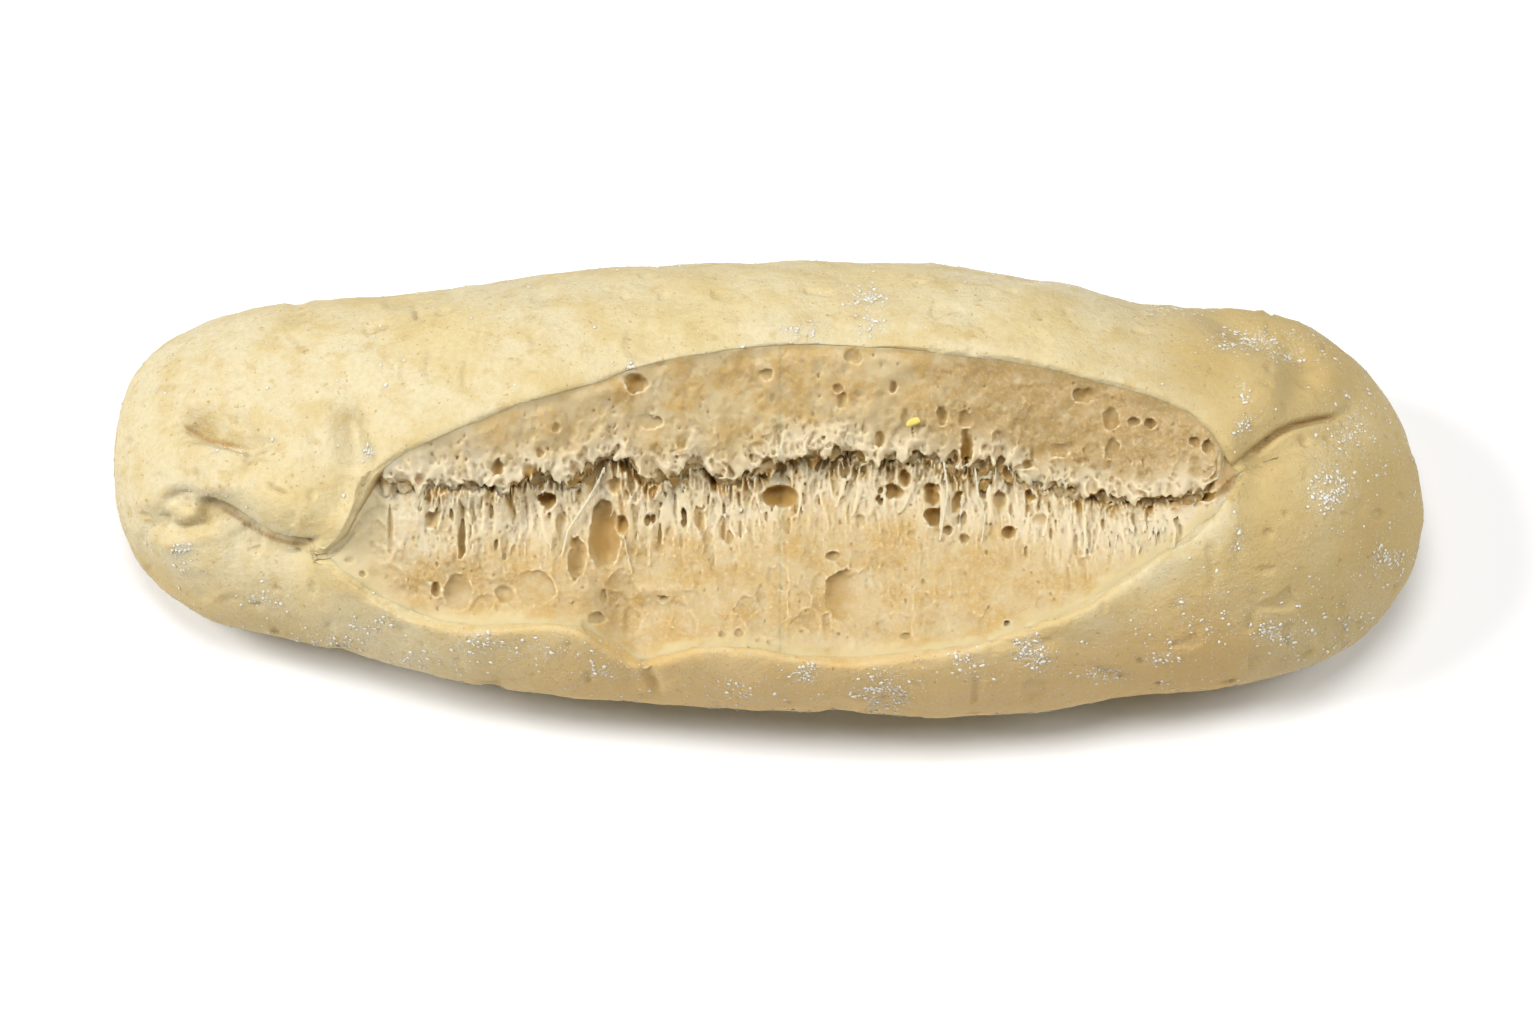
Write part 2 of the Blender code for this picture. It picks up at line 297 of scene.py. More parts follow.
# Folds and wrinkles: path, depth, half width, and rise of the side below the path
creases = [
    ([(1236, 466), (1250, 456), (1264, 445), (1280, 433), (1295, 425), (1314, 420), (1334, 417),
      (1350, 408)], 2.0, 0.5, 0.15),
    ([(1204, 314), (1230, 326), (1262, 343), (1296, 352), (1305, 360), (1299, 380), (1288, 402),
      (1276, 430)], 0.5, 1.8, -0.35),
    ([(181, 420), (188, 428), (200, 434), (212, 441), (224, 444), (240, 447), (252, 446)], 1.6, 0.6, 1.0),
    ([(170, 414), (196, 434), (222, 446), (250, 448), (272, 440)], 1.3, 2.4, 0.8),
    ([(240, 447), (247, 456), (243, 466)], 0.6, 0.6, 0.2),
    ([(196, 494), (222, 508), (246, 526), (272, 542), (304, 548), (326, 542)], 1.2, 2.4, -0.4),
    ([(356, 400), (350, 430), (362, 466), (344, 500), (328, 530)], 1.1, 2.2, -0.4),
    ([(140, 520), (164, 530), (186, 532), (206, 524), (214, 512)], 0.9, 1.2, 0.3),
    ([(164, 504), (176, 492), (196, 494)], 0.7, 0.9, -0.4),
    ([(266, 484), (274, 488), (281, 492), (290, 494)], 0.9, 0.35, 0.15),
    ([(290, 480), (296, 494), (304, 506)], 0.25, 0.4, 0.0),
    ([(208, 500), (222, 508), (240, 519), (256, 530), (272, 538), (290, 543), (306, 544), (318, 540)],
     1.5, 0.55, -0.55),
    ([(336, 408), (346, 418), (353, 432), (356, 450), (362, 462)], 0.8, 1.2, 0.1),
    ([(172, 494), (182, 503), (196, 506)], 0.5, 0.6, 0.2),
    ([(160, 512), (166, 524), (180, 530), (196, 527)], 0.5, 0.7, 0.2),
    ([(638, 654), (647, 674), (660, 697)], 0.9, 0.8, 0.3),
    ([(404, 352), (401, 374), (408, 396)], 0.3, 0.5, 0.1),
    ([(430, 344), (426, 368), (431, 390)], 0.25, 0.5, 0.1),
    ([(468, 352), (462, 374), (466, 392)], 0.35, 0.5, 0.1),
    ([(480, 330), (474, 352)], 0.25, 0.5, 0.0),
    ([(1090, 668), (1110, 676), (1128, 676)], 0.35, 0.6, 0.0),
]
# Dimples: place, half width and half height in pixels, depth
dimples = [
    (416, 312, 3.5, 7, 1.0), (297, 339, 6, 5, 0.4), (268, 441, 9, 6, 0.8), (208, 506, 10, 6, 0.6),
    (166, 518, 7, 5, 0.5), (531, 341, 4, 7, 0.4), (672, 345, 6, 9, 0.4), (724, 295, 6, 7, 0.4),
    (739, 316, 7, 6, 0.3), (977, 321, 12, 12, 0.5), (1324, 348, 2.5, 2.5, 0.5),
    (491, 302, 1.8, 1.8, 0.5), (629, 372, 6, 5, 0.3), (1360, 506, 5, 8, 0.4), (1256, 600, 7, 10, 0.4),
    (1237, 548, 6, 12, 0.4), (330, 626, 5, 5, 0.3), (560, 320, 14, 10, 0.2), (905, 300, 10, 8, 0.2),
    (1130, 332, 12, 8, 0.2), (230, 600, 8, 5, 0.3), (348, 436, 11, 32, 1.0), (236, 470, 9, 6, 0.5),
    (182, 532, 8, 4, 0.5), (1290, 372, 12, 26, 0.6),
]
# Swellings: place, half width and half height in pixels, height
swellings = [
    (202, 452, 28, 12, 1.2), (258, 460, 8, 8, 0.7), (296, 506, 32, 26, 1.2), (150, 470, 26, 40, 0.4),
    (192, 514, 11, 8, 1.1), (222, 486, 17, 10, 0.9), (172, 542, 15, 10, 0.8), (214, 534, 10, 7, 0.6),
    (148, 502, 12, 9, 0.5), (200, 402, 26, 10, 0.5), (1262, 400, 26, 30, 0.8), (1330, 375, 26, 18, 1.0),
    (1300, 460, 44, 22, 0.6), (1240, 300, 20, 8, 0.5), (1310, 320, 20, 10, 0.5),
]


def pathDistance(path, px, py):
    # distance in mm to a line of straight runs, how far below it a point is, and its share of the way
    best = np.full(px.shape, 1e9)
    side = np.zeros(px.shape)
    place = np.zeros(px.shape)
    for k, (a, b) in enumerate(zip(path, path[1:])):
        runX, runY = b[0] - a[0], b[1] - a[1]
        length = math.hypot(runX, runY)
        t = np.clip(((px - a[0]) * runX + (py - a[1]) * runY) / length ** 2, 0, 1)
        away = np.hypot(px - a[0] - runX * t, py - a[1] - runY * t)
        closer = away < best
        best = np.where(closer, away, best)
        side = np.where(closer, ((py - a[1]) * runX - (px - a[0]) * runY) / length, side)
        place = np.where(closer, (k + t) / (len(path) - 1), place)
    return best / pixelsPerMm, side / pixelsPerMm, place


def crustRelief(px, py, rise, facing):
    relief = np.zeros(px.shape)
    x, y, z = px / pixelsPerMm, py / pixelsPerMm, rise
    for spacing, height in crustLook["lumps"]:
        relief += height * softNoise(x / spacing + 3, y / spacing, z / spacing)
    for spacing, depth, rare in crustLook["hollows"]:
        relief -= depth * ease((softNoise(x / spacing + 9, y / spacing, z / spacing) - rare) / 0.35)
    seen = ease(facing / 0.35)
    for path, depth, width, lift in creases:
        away, side, place = pathDistance(path, px, py)
        fade = 0.25 + 0.75 * ease(np.minimum(place, 1 - place) / 0.25)
        step = lift * np.tanh(side / width) * bell(away / (3 * width))
        relief += seen * fade * (step - depth * bell(away / width))
    for dx, dy, rx, ry, depth in dimples:
        relief -= seen * depth * bell(np.hypot((px - dx) / rx, (py - dy) / ry))
    for dx, dy, rx, ry, height in swellings:
        relief += seen * height * bell(np.hypot((px - dx) / rx, (py - dy) / ry))
    return relief


def foldShadeAmount(px, py, facing):
    # 1 at the bottom of a sharp fold: painted shade that darkens the crust's colour where shade falls in the
    #                                  fold
    shadeInFolds = np.zeros(px.shape)
    for path, depth, width, lift in creases:
        if width > crustLook["sharpFold"]:
            continue
        away, side, place = pathDistance(path, px, py)
        fade = 0.1 + 0.9 * ease(np.minimum(place, 1 - place) / 0.25)
        shadeInFolds = np.maximum(shadeInFolds, min(depth, 1.2) / 1.2 * fade * bell(away / (0.6 * width + 0.05)))
    return shadeInFolds * ease(facing / 0.35)


# Floury places: centre, half width and half height in pixels, strength
flourPatches = [
    (870, 298, 26, 16, 1.0), (872, 325, 22, 12, 0.9), (803, 330, 26, 14, 0.9), (629, 364, 8, 9, 0.9),
    (1245, 395, 12, 16, 0.8), (1243, 425, 14, 14, 0.8), (1250, 340, 50, 14, 0.8),
    (1290, 355, 22, 10, 0.8), (1328, 488, 22, 20, 1.0), (1237, 540, 12, 24, 0.7),
    (1384, 555, 16, 12, 0.7), (1273, 634, 22, 12, 0.8), (1157, 659, 16, 8, 0.7),
    (1100, 674, 26, 8, 0.7), (1033, 653, 17, 20, 1.0), (883, 690, 26, 18, 1.0), (805, 669, 16, 16, 0.8),
    (969, 664, 16, 12, 0.7), (263, 596, 22, 10, 0.7), (181, 550, 16, 20, 0.7), (370, 625, 22, 12, 0.7),
    (477, 640, 26, 14, 0.7), (367, 455, 9, 14, 1.0), (1170, 310, 60, 10, 0.5), (330, 640, 60, 12, 0.45),
    (430, 660, 60, 12, 0.45), (540, 650, 50, 14, 0.5), (740, 690, 30, 12, 0.5), (600, 670, 30, 12, 0.5),
    (1350, 430, 26, 30, 0.5), (1200, 600, 60, 50, 0.35),
]


def flourAmount(px, py, rise, facing):
    x, y, z = px / pixelsPerMm, py / pixelsPerMm, rise
    seen = ease(facing / 0.3)
    patches = np.zeros(px.shape)
    for cx, cy, rx, ry, strength in flourPatches:
        patches = np.maximum(patches, strength * bell(np.hypot((px - cx) / rx, (py - cy) / ry)))
    lower = (0.05 + ease((py - 560) / 90) * 0.17 + ease((px - 1240) / 120) * 0.25
             + ease((300 - px) / 100) * 0.15)
    elsewhere = 0.25 + 0.35 * ease(0.5 + layeredNoise(x / 16, y / 16, z / 16))
    return seen * np.clip(patches + lower, 0, 1) + (1 - seen) * elsewhere


# Tan of the crust, with painted shade in the part to the right. Each part has where it starts,
# over how much it grows, and its strength: heights are in mm and columns in pixels.
crustTan = {"low": (30, 24, 0.8), "right": (1030, 200, 0.85), "warm": (44, 24, 1.0)}


def tanAndRightShadeAmount(px, py, height):
    # the crust is tanned low down, and tanned and painted in shade towards the right end
    start, over, strength = crustTan["low"]
    low = ease((start - height) / over) * strength
    start, over, strength = crustTan["right"]
    right = ease((px - start) / over) * strength
    return np.clip(np.maximum(low, right) * (0.85 + 0.3 * softNoise(px / 60, py / 60)), 0, 1)


def glowAmount(px, py, height, facing):
    # the near side below the burst has a warmer tan, least at both ends
    start, over, strength = crustTan["warm"]
    along = ease((1330 - px) / 150) * (0.25 + 0.75 * ease((px - 380) / 280))
    inFront = ease((facing + 0.3) / 0.3) * ease((py - 520) / 70)
    return strength * ease((start - height) / over) * along * inFront


def writeAttribute(mesh, name, values):
    attribute = mesh.attributes.new(name, "FLOAT", "POINT")
    attribute.data.foreach_set("value", np.asarray(values, dtype=np.float32))


def readPoints(mesh, what="co"):
    values = np.empty(len(mesh.vertices) * 3, np.float32)
    if what == "co":
        mesh.vertices.foreach_get("co", values)
    else:
        mesh.vertex_normals.foreach_get("vector", values)
    return values.reshape(-1, 3).astype(float)


def addPiece(name, mesh, material):
    piece = bpy.data.objects.new(name, mesh)
    scene.collection.objects.link(piece)
    mesh.materials.append(material)
    mesh.shade_smooth()
    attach(piece, "root")
    return piece


def withModifier(mesh, kind, settings):
    holder = bpy.data.objects.new("holder", mesh)
    scene.collection.objects.link(holder)
    modifier = holder.modifiers.new("change", kind)
    for name, value in settings.items():
        setattr(modifier, name, value)
    shown = holder.evaluated_get(bpy.context.evaluated_depsgraph_get())
    changed = bpy.data.meshes.new_from_object(shown)
    bpy.data.objects.remove(holder)
    return changed


def cutFiner(mesh, longest):
    # halves the edges that are longer than this many mm, twice over
    bm = bmesh.new()
    bm.from_mesh(mesh)
    for _ in range(2):
        edges = [edge for edge in bm.edges if edge.calc_length() > longest * mm]
        bmesh.ops.subdivide_edges(bm, edges=edges, cuts=1, use_grid_fill=True)
        bmesh.ops.triangulate(bm, faces=[face for face in bm.faces if len(face.verts) > 4])
    bm.to_mesh(mesh)
    bm.free()


def makeCrust(material):
    print("Crust")
    bm = mergedRoll()
    angle, levels = crustLook["joinAngle"], crustLook["levels"]
    bmesh.ops.join_triangles(bm, faces=bm.faces, angle_face_threshold=angle, angle_shape_threshold=angle)
    mesh = bpy.data.meshes.new("crust")
    bm.to_mesh(mesh)
    bm.free()
    mesh = withModifier(mesh, "SUBSURF", {"levels": levels, "render_levels": levels})
    cutFiner(mesh, crustLook["longestEdge"])
    places, normals = readPoints(mesh), readPoints(mesh, "normal")
    px, py, rise = seenAt(places)
    facing = normals @ np.array(towardsCamera)
    inside = insideBurst(px, py)
    relief = crustRelief(px, py, rise, facing) * (1 - ease(inside / 2.5) * (facing > -0.5))
    puff = crustLook["lipPuff"] * (0.7 + 0.9 * softNoise(px / 45, py / 45, 5.5))
    relief += puff * bell((inside + 1.6) / 1.6) * ease(facing / 0.3)
    relief *= ease(places[:, 2] / mm / 5)
    places += normals * (relief * mm)[:, None]
    skinTree = BVHTree.FromPolygons(places.tolist(), [tuple(p.vertices) for p in mesh.polygons])

    # inside the lips the crust goes down under the crumb
    opened = ease(inside / crustLook["lipWidth"]) * (facing > -0.5)
    crumbRise = np.maximum(planeRise(wallPlane, px, py), planeRise(floorPlane, px, py))
    under = np.minimum(rise, crumbRise) - crustLook["lipSink"]
    places += np.array(towardsCamera) * (opened * (under - rise) * mm)[:, None]
    places[:, 2] = np.maximum(places[:, 2], 0)
    mesh.vertices.foreach_set("co", places.astype(np.float32).ravel())
    mesh.update()
    mesh.calc_loop_triangles()
    mesh = withModifier(mesh, "DECIMATE", {"ratio": crustLook["triangles"] / len(mesh.loop_triangles)})
    mesh.name = "crust"
    print("  triangles", sum(len(p.vertices) - 2 for p in mesh.polygons))

    places, normals = readPoints(mesh), readPoints(mesh, "normal")
    px, py, rise = seenAt(places)
    facing = normals @ np.array(towardsCamera)
    inside = insideBurst(px, py)
    writeAttribute(mesh, "flour", flourAmount(px, py, rise, facing) * (inside < 0.2))
    writeAttribute(mesh, "inside", ease((inside + 0.1) / 0.9) * (rise > 0))
    writeAttribute(mesh, "foldShade", foldShadeAmount(px, py, facing))
    writeAttribute(mesh, "warm", glowAmount(px, py, places[:, 2] / mm, facing))
    tanAndRightShade = tanAndRightShadeAmount(px, py, places[:, 2] / mm)
    # painted highlight: the crust is paler along the top of the near lip
    nearLipHighlight = bell((inside + 1.5) / 2.5) * (py > 500) * (facing > 0.3)
    writeAttribute(mesh, "tanAndRightShade", tanAndRightShade * (1 - 0.8 * nearLipHighlight))
    piece = addPiece("crust", mesh, material)
    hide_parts("bread_roll")
    return piece, skinTree


# The crumb is made in a left and a right piece that pass into one another. Places in pixels.
seams = {
    "middle": 780,
    "overlap": 15,
    "slope": 0.25,             # how fast a piece goes under past its seam
    "wallStart": (384, -8),    # the wall goes under at both tips: place, and direction and speed
    "wallEnd": (1224, 10),
}
evenAreas = 0.03  # how readily flat parts of the crumb get larger faces


# A grid of small cubes over a stretch of the picture, with a depth in mm out of a plain surface.
# "solid" is positive in the bread, in mm.
class Block:
    def __init__(self, left, right, top, bottom, low, high, step):
        self.step = step
        self.mmStep = step / pixelsPerMm
        self.low = low
        self.left, self.top = left, top
        self.px = np.arange(left, right, step)
        self.py = np.arange(top, bottom, step)
        self.w = np.arange(low, high, self.mmStep)
        self.flatX, self.flatY = np.meshgrid(self.px, self.py, indexing="ij")
        self.solid = None
        x, y = self.flatX / pixelsPerMm, self.flatY / pixelsPerMm
        self.bend = []
        for k in (2.6, 12.9):
            bend = 0.34 * softNoise(x / 1.5, y / 1.5, k) + 0.22 * softNoise(x / 0.6, y / 0.6, k + 3)
            self.bend.append(bend[:, :, None])

    def fill(self, heights):
        self.solid = (heights[:, :, None] - self.w[None, None, :]).astype(np.float32)

    def keepWithin(self, amount):
        self.solid = np.minimum(self.solid, amount)

    def part(self, px, py, w, rx, ry, rw):
        # the cubes round a place, as slices, with their offsets in mm
        slices = []
        for grid, middle, reach in ((self.px, px, rx), (self.py, py, ry), (self.w, w, rw)):
            slices.append(slice(*np.searchsorted(grid, (middle - reach, middle + reach))))
        x = (self.px[slices[0]] - px)[:, None, None] / pixelsPerMm
        y = (self.py[slices[1]] - py)[None, :, None] / pixelsPerMm
        z = (self.w[slices[2]] - w)[None, None, :]
        return tuple(slices), x, y, z

    def scoop(self, px, py, w, rx, ry, rw, soft=0.15, rim=0.0, bent=1.0):
        # takes out an oval bubble with half sizes in mm, bent out of shape, and raises a thin rim
        grow = 1.6 + rim
        reachX, reachY = rx * grow * pixelsPerMm, ry * grow * pixelsPerMm
        where, x, y, z = self.part(px, py, w, reachX, reachY, rw * grow)
        if self.solid[where].size == 0:
            return
        size = min(rx, ry, rw)
        x = x + self.bend[0][where[:2]] * rx * bent
        y = y + self.bend[1][where[:2]] * ry * bent
        outside = (np.sqrt((x / rx) ** 2 + (y / ry) ** 2 + (z / rw) ** 2) - 1) * size
        if rim:
            around = (np.sqrt((x / rx) ** 2 + (y / ry) ** 2) - 1.08) * min(rx, ry)
            self.solid[where] += (rim * bell(around / 0.22)).astype(np.float32)
        self.solid[where] = softMin(self.solid[where], outside, soft)

    def strand(self, a, b, thickA, thickB, soft=0.25):
        # adds a thread from a to b, each (px, py, w), with its half thickness in mm at both ends
        reach = 1.2
        middle = [(p + q) / 2 for p, q in zip(a, b)]
        half = [abs(p - q) / 2 for p, q in zip(a, b)]
        where, x, y, z = self.part(*middle, half[0] + reach * pixelsPerMm, half[1] + reach * pixelsPerMm,
                                   half[2] + reach)
        if self.solid[where].size == 0:
            return
        start = np.array([(a[0] - middle[0]) / pixelsPerMm, (a[1] - middle[1]) / pixelsPerMm,
                          a[2] - middle[2]])
        run = -2 * start
        t = np.clip(((x - start[0]) * run[0] + (y - start[1]) * run[1] + (z - start[2]) * run[2])
                    / max(run @ run, 1e-6), 0, 1)
        away = np.sqrt((x - start[0] - run[0] * t) ** 2 + (y - start[1] - run[1] * t) ** 2
                       + (z - start[2] - run[2] * t) ** 2)
        thick = thickA + (thickB - thickA) * t
        self.solid[where] = softMax(self.solid[where], thick - away, soft)

    def sinkPast(self, px, direction):
        # goes down gently past a column, so that the next piece takes over there
        past = np.maximum((self.px - px) * direction / pixelsPerMm, 0)
        self.solid -= seams["slope"] * past[:, None, None].astype(np.float32)

    def toMesh(self, name, plane):
        field = np.pad(-self.solid, 1, constant_values=0.5)
        grid = openvdb.FloatGrid(1.0)
        grid.copyFromArray(np.clip(field, -1, 1).astype(np.float32))
        points, triangles, quads = grid.convertToPolygons(isovalue=0.0, adaptivity=evenAreas)
        px = self.left + (points[:, 0] - 1) * self.step
        py = self.top + (points[:, 1] - 1) * self.step
        w = self.low + (points[:, 2] - 1) * self.mmStep
        places = placeAt(px, py, planeRise(plane, px, py) + w)
        mesh = bpy.data.meshes.new(name)
        mesh.from_pydata(places.tolist(), [], triangles.tolist() + quads.tolist())
        return mesh


def heightAt(surface, px, py):
    return surface(np.array([px]), np.array([py]))[0]


def smallBubble(block, draw, surface, place, size, longest, deep, soft):
    # takes out a bubble of half size size in mm at a surface, up to longest times as long
    height = heightAt(surface, *place) + draw.uniform(-0.4, 0.5) * size
    block.scoop(*place, height, size, size * draw.uniform(1, longest), size * deep, soft)


def softMin(a, b, soft):
    mixPart = np.clip(0.5 + 0.5 * (b - a) / soft, 0, 1)
    return b * (1 - mixPart) + a * mixPart - soft * mixPart * (1 - mixPart)


def softMax(a, b, soft):
    return -softMin(-a, -b, soft)


def hollowShadeRimLight(mesh):
    # from -1 in a hollow to 1 on a thin rim, for every point; it paints shade in the crumb's hollows and
    # highlights on its rims
    places, normals = readPoints(mesh), readPoints(mesh, "normal")
    ends = np.empty(len(mesh.edges) * 2, np.int32)
    mesh.edges.foreach_get("vertices", ends)
    a, b = ends.reshape(-1, 2).T
    run = places[b] - places[a]
    run /= np.maximum(np.linalg.norm(run, axis=1), 1e-9)[:, None]
    count = np.bincount(ends, minlength=len(places))
    value = (np.bincount(b, (run * normals[b]).sum(1), len(places))
             - np.bincount(a, (run * normals[a]).sum(1), len(places))) / np.maximum(count, 1)
    for _ in range(2):
        around = np.bincount(a, value[b], len(places)) + np.bincount(b, value[a], len(places))
        value = 0.5 * value + 0.5 * around / np.maximum(count, 1)
    return np.clip(value * 3.5, -1, 1)


def tidyCrumb(mesh, smoothing):
    # keeps the largest connected body, evens it slightly and turns its faces out
    bm = bmesh.new()
    bm.from_mesh(mesh)
    bm.verts.ensure_lookup_table()
    seen, largest = set(), []
    for vert in bm.verts:
        if vert in seen:
            continue
        island, queue = [], [vert]
        seen.add(vert)
        while queue:
            one = queue.pop()
            island.append(one)
            for edge in one.link_edges:
                other = edge.other_vert(one)
                if other not in seen:
                    seen.add(other)
                    queue.append(other)
        if len(island) > len(largest):
            largest = island
    keep = set(largest)
    bmesh.ops.delete(bm, geom=[v for v in bm.verts if v not in keep], context="VERTS")
    for _ in range(smoothing):
        bmesh.ops.smooth_vert(bm, verts=bm.verts, factor=0.4, use_axis_x=True, use_axis_y=True,
                              use_axis_z=True)
    if bm.calc_volume(signed=True) < 0:
        bmesh.ops.reverse_faces(bm, faces=bm.faces)
    bm.to_mesh(mesh)
    bm.free()
    print("  triangles", sum(len(p.vertices) - 2 for p in mesh.polygons))


# Torn wall under the upper lip
wallLook = {
    "step": 1.5,            # pixels between the cubes
    "depth": (-4.2, 3.2),
    "margin": 14,           # rows kept above the upper lip
    "lowest": 552,          # last row
    "swell": 0.8,           # slow unevenness
    "folds": [(0.45, 1.7, 6, 2.9), (0.2, 0.8, 3, 6.9)],  # drawn up from the torn edge
    "mounds": [(0.3, 2.4, 2.8, 5.2), (0.15, 1.2, 1.5, 8.2)],
    "ragged": [(1.6, 2.4, 3, 6.6), (0.8, 0.9, 1.2, 2.6)],  # limit of the pale torn crumb
    "sponge": 0.22,         # fine crumb
    "curl": 1.3,            # how far the torn edge stands out
    "teeth": [(4.4, 1.3), (1.6, 1.1), (0.6, 0.7)],  # spacing and length of the ragged teeth
    "curtain": 0.55,        # thickness of the torn skin where it hangs free
    "ledge": 1.3,           # how far the crumb behind the torn edge reaches below it
    "ledgeDrop": (0.9, 0.35),  # how deep it lies, and how it goes on falling for each mm
    "web": (965, 55, 3.2),  # where wall and floor hang together: place, half width in pixels, reach
    "gaps": [(548, 20, 1.5), (783, 24, 1.5), (893, 16, 1.2), (622, 22, 1.2)],
    "ledgeBubbles": 160,
    "ledgeBubbleSizes": (0.16, 0.6),
    "webBubbles": 130,
    "webBubbleSizes": (0.35, 0.95),
    "webBubbleRows": (-14, 46),   # pixels below the torn edge
    "webBubbleDepths": (-2.6, 1.2),
    "pits": 420,
    "pitSizes": (0.10, 0.26),
    "stepDown": 0.08,       # from the crust to the crumb at the upper lip
}
# Open bubbles in the wall: place, half width and half height in pixels, depth in mm
wallPores = [
    (637, 381, 11, 10, 1.6), (420, 479, 6, 6, 0.9), (497, 468, 6, 9, 1.0), (556, 427, 5, 5, 0.5),
    (659, 422, 5, 5, 0.7), (648, 420, 14, 8, 0.3), (765, 375, 9, 5, 0.5), (853, 356, 9, 7, 0.7),
    (893, 388, 4, 6, 0.9), (842, 400, 5, 9, 0.8), (838, 388, 5, 4, 0.6), (942, 414, 6, 9, 0.9),
    (967, 449, 7, 18, 1.6), (857, 461, 8, 11, 1.3), (768, 468, 8, 10, 1.2), (909, 468, 6, 10, 1.5),
    (946, 472, 6, 9, 1.0), (986, 471, 7, 11, 1.3), (1027, 464, 6, 5, 1.0), (1084, 395, 11, 8, 0.9),
    (1111, 419, 8, 11, 1.0), (1134, 422, 7, 5, 0.9), (1151, 423, 6, 5, 0.9), (1113, 449, 7, 9, 0.6),
    (1194, 442, 6, 5, 0.7), (1207, 446, 6, 7, 0.7), (965, 420, 7, 8, 0.7), (905, 420, 5, 12, 0.5),
    (528, 470, 6, 9, 0.8), (540, 452, 4, 5, 0.6), (575, 468, 6, 8, 0.9), (590, 484, 7, 9, 1.3),
    (700, 462, 5, 5, 0.7), (1060, 450, 12, 8, 0.5), (1010, 445, 6, 7, 0.5), (880, 440, 5, 8, 0.7),
    (836, 452, 5, 7, 0.8), (820, 462, 5, 7, 0.8),
]


# How the crumb passes into the crust at both tips and along the lips
crumbJoin = {
    "leftTip": (20, 45),   # how far inside the tip the crumb starts to differ, and over how many pixels
    "rightTip": (8, 26),
    "tipDrop": 0.45,       # how far under the crust it lies at the tips
    "tipRelief": 0.25,     # share of its own relief that is left there
    "sink": 3,             # how far it goes under past a lip
}


def joinCrust(height, plane, px, py, toLip, width, drop, overhang):
    # near both tips and along a lip the crumb runs level with the crust, and past the lip it goes under
    skin = mappedRise(skinMap, px, py) - planeRise(plane, px, py)
    start, over = crumbJoin["leftTip"]
    atLeft = ease(1 - (px - leftTip - start) / over)
    start, over = crumbJoin["rightTip"]
    tips = np.maximum(atLeft, ease(1 - (rightTip - px - start) / over))
    under = overhang * ease(1 - (py - lineAt(upperLip, px)) / 40)
    atTip = skin - crumbJoin["tipDrop"] - under + crumbJoin["tipRelief"] * height
    height = height * (1 - tips) + tips * atTip
    besideLip = bell(np.maximum(toLip, 0) / width)
    sunk = crumbJoin["sink"] * ease((-toLip - 0.1) / 1.6)
    return height * (1 - besideLip) + besideLip * (skin - drop) - sunk


def wallHeight(px, py, cells=1.0):
    x, y = px / pixelsPerMm, py / pixelsPerMm
    top, edge = lineAt(upperLip, px), lineAt(tornEdge, px)
    below = (py - top) / pixelsPerMm
    above = (edge - py) / pixelsPerMm
    look = wallLook
    height = look["swell"] * layeredNoise(x / 10, y / 7, 1.7, 3)
    height += look["curl"] * bell(np.maximum(above, 0) / 3.2) * (0.75 + 0.6 * softNoise(x / 2.6, y / 5, 9.1))
    # folds drawn up from the torn edge
    nearEdge = bell(np.maximum(above, 0) / 4.5)
    folds = bell(np.maximum(above, 0) / 8)
    height += folds * waves(x, y, look["folds"])
    height += waves(x, y, look["mounds"])
    # scalloped cells get longer and deeper towards the torn edge
    warpX, warpY = 0.6 * softNoise(x / 2, y / 2, 4.4), 0.6 * softNoise(x / 2, y / 2, 8.8)
    wall, name = bubbleCells(x / 2.3 + warpX, y / 3.2 + warpY, 3)
    height -= cells * nearEdge * ease(wall / 0.5) * (0.5 + 0.5 * name)
    wall, name = bubbleCells(x / 1.0 + warpX, y / 1.3 + warpY, 8)
    height -= cells * (0.2 + 0.26 * nearEdge) * ease(wall / 0.35) * (0.4 + 0.6 * name)
    uneven = 0.6 + 0.4 * softNoise(x / 6, y / 6, 1.1)
    height += look["sponge"] * layeredNoise(x / 0.7, y / 0.7, 3.3, 3) * uneven
    width = 1.3 - 0.9 * ease((px - 1190) / 15)
    toLip = below / lineAt(upperSlant, px)
    return joinCrust(height, wallPlane, px, py, toLip, width, look["stepDown"], 0)


def ledgeReach(px):
    middle, half, reach = wallLook["web"]
    wander = 0.9 * softNoise(px / pixelsPerMm / 6, 0.0, 5.1)
    return wallLook["ledge"] + reach * bell((px - middle) / half) + wander


def ledgeHeight(px, py):
    x, y = px / pixelsPerMm, py / pixelsPerMm
    below = y - lineAt(tornEdge, px) / pixelsPerMm
    drop, fall = wallLook["ledgeDrop"]
    height = -drop - fall * np.maximum(below, -0.5) + 0.5 * layeredNoise(x / 2.6, y / 2.2, 9.4, 3)
    height -= 1.2 * np.maximum(-below - 0.5, 0)
    warp = 0.5 * softNoise(x / 1.3, y / 1.3, 3.4)
    wall, name = bubbleCells(x / 1.5 + warp, y / 1.7 + warp, 40)
    height -= 0.75 * ease(wall / 0.5) * (0.45 + 0.55 * name)
    wall, name = bubbleCells(x / 0.7 + warp, y / 0.8 + warp, 45)
    return height - 0.22 * ease(wall / 0.45)


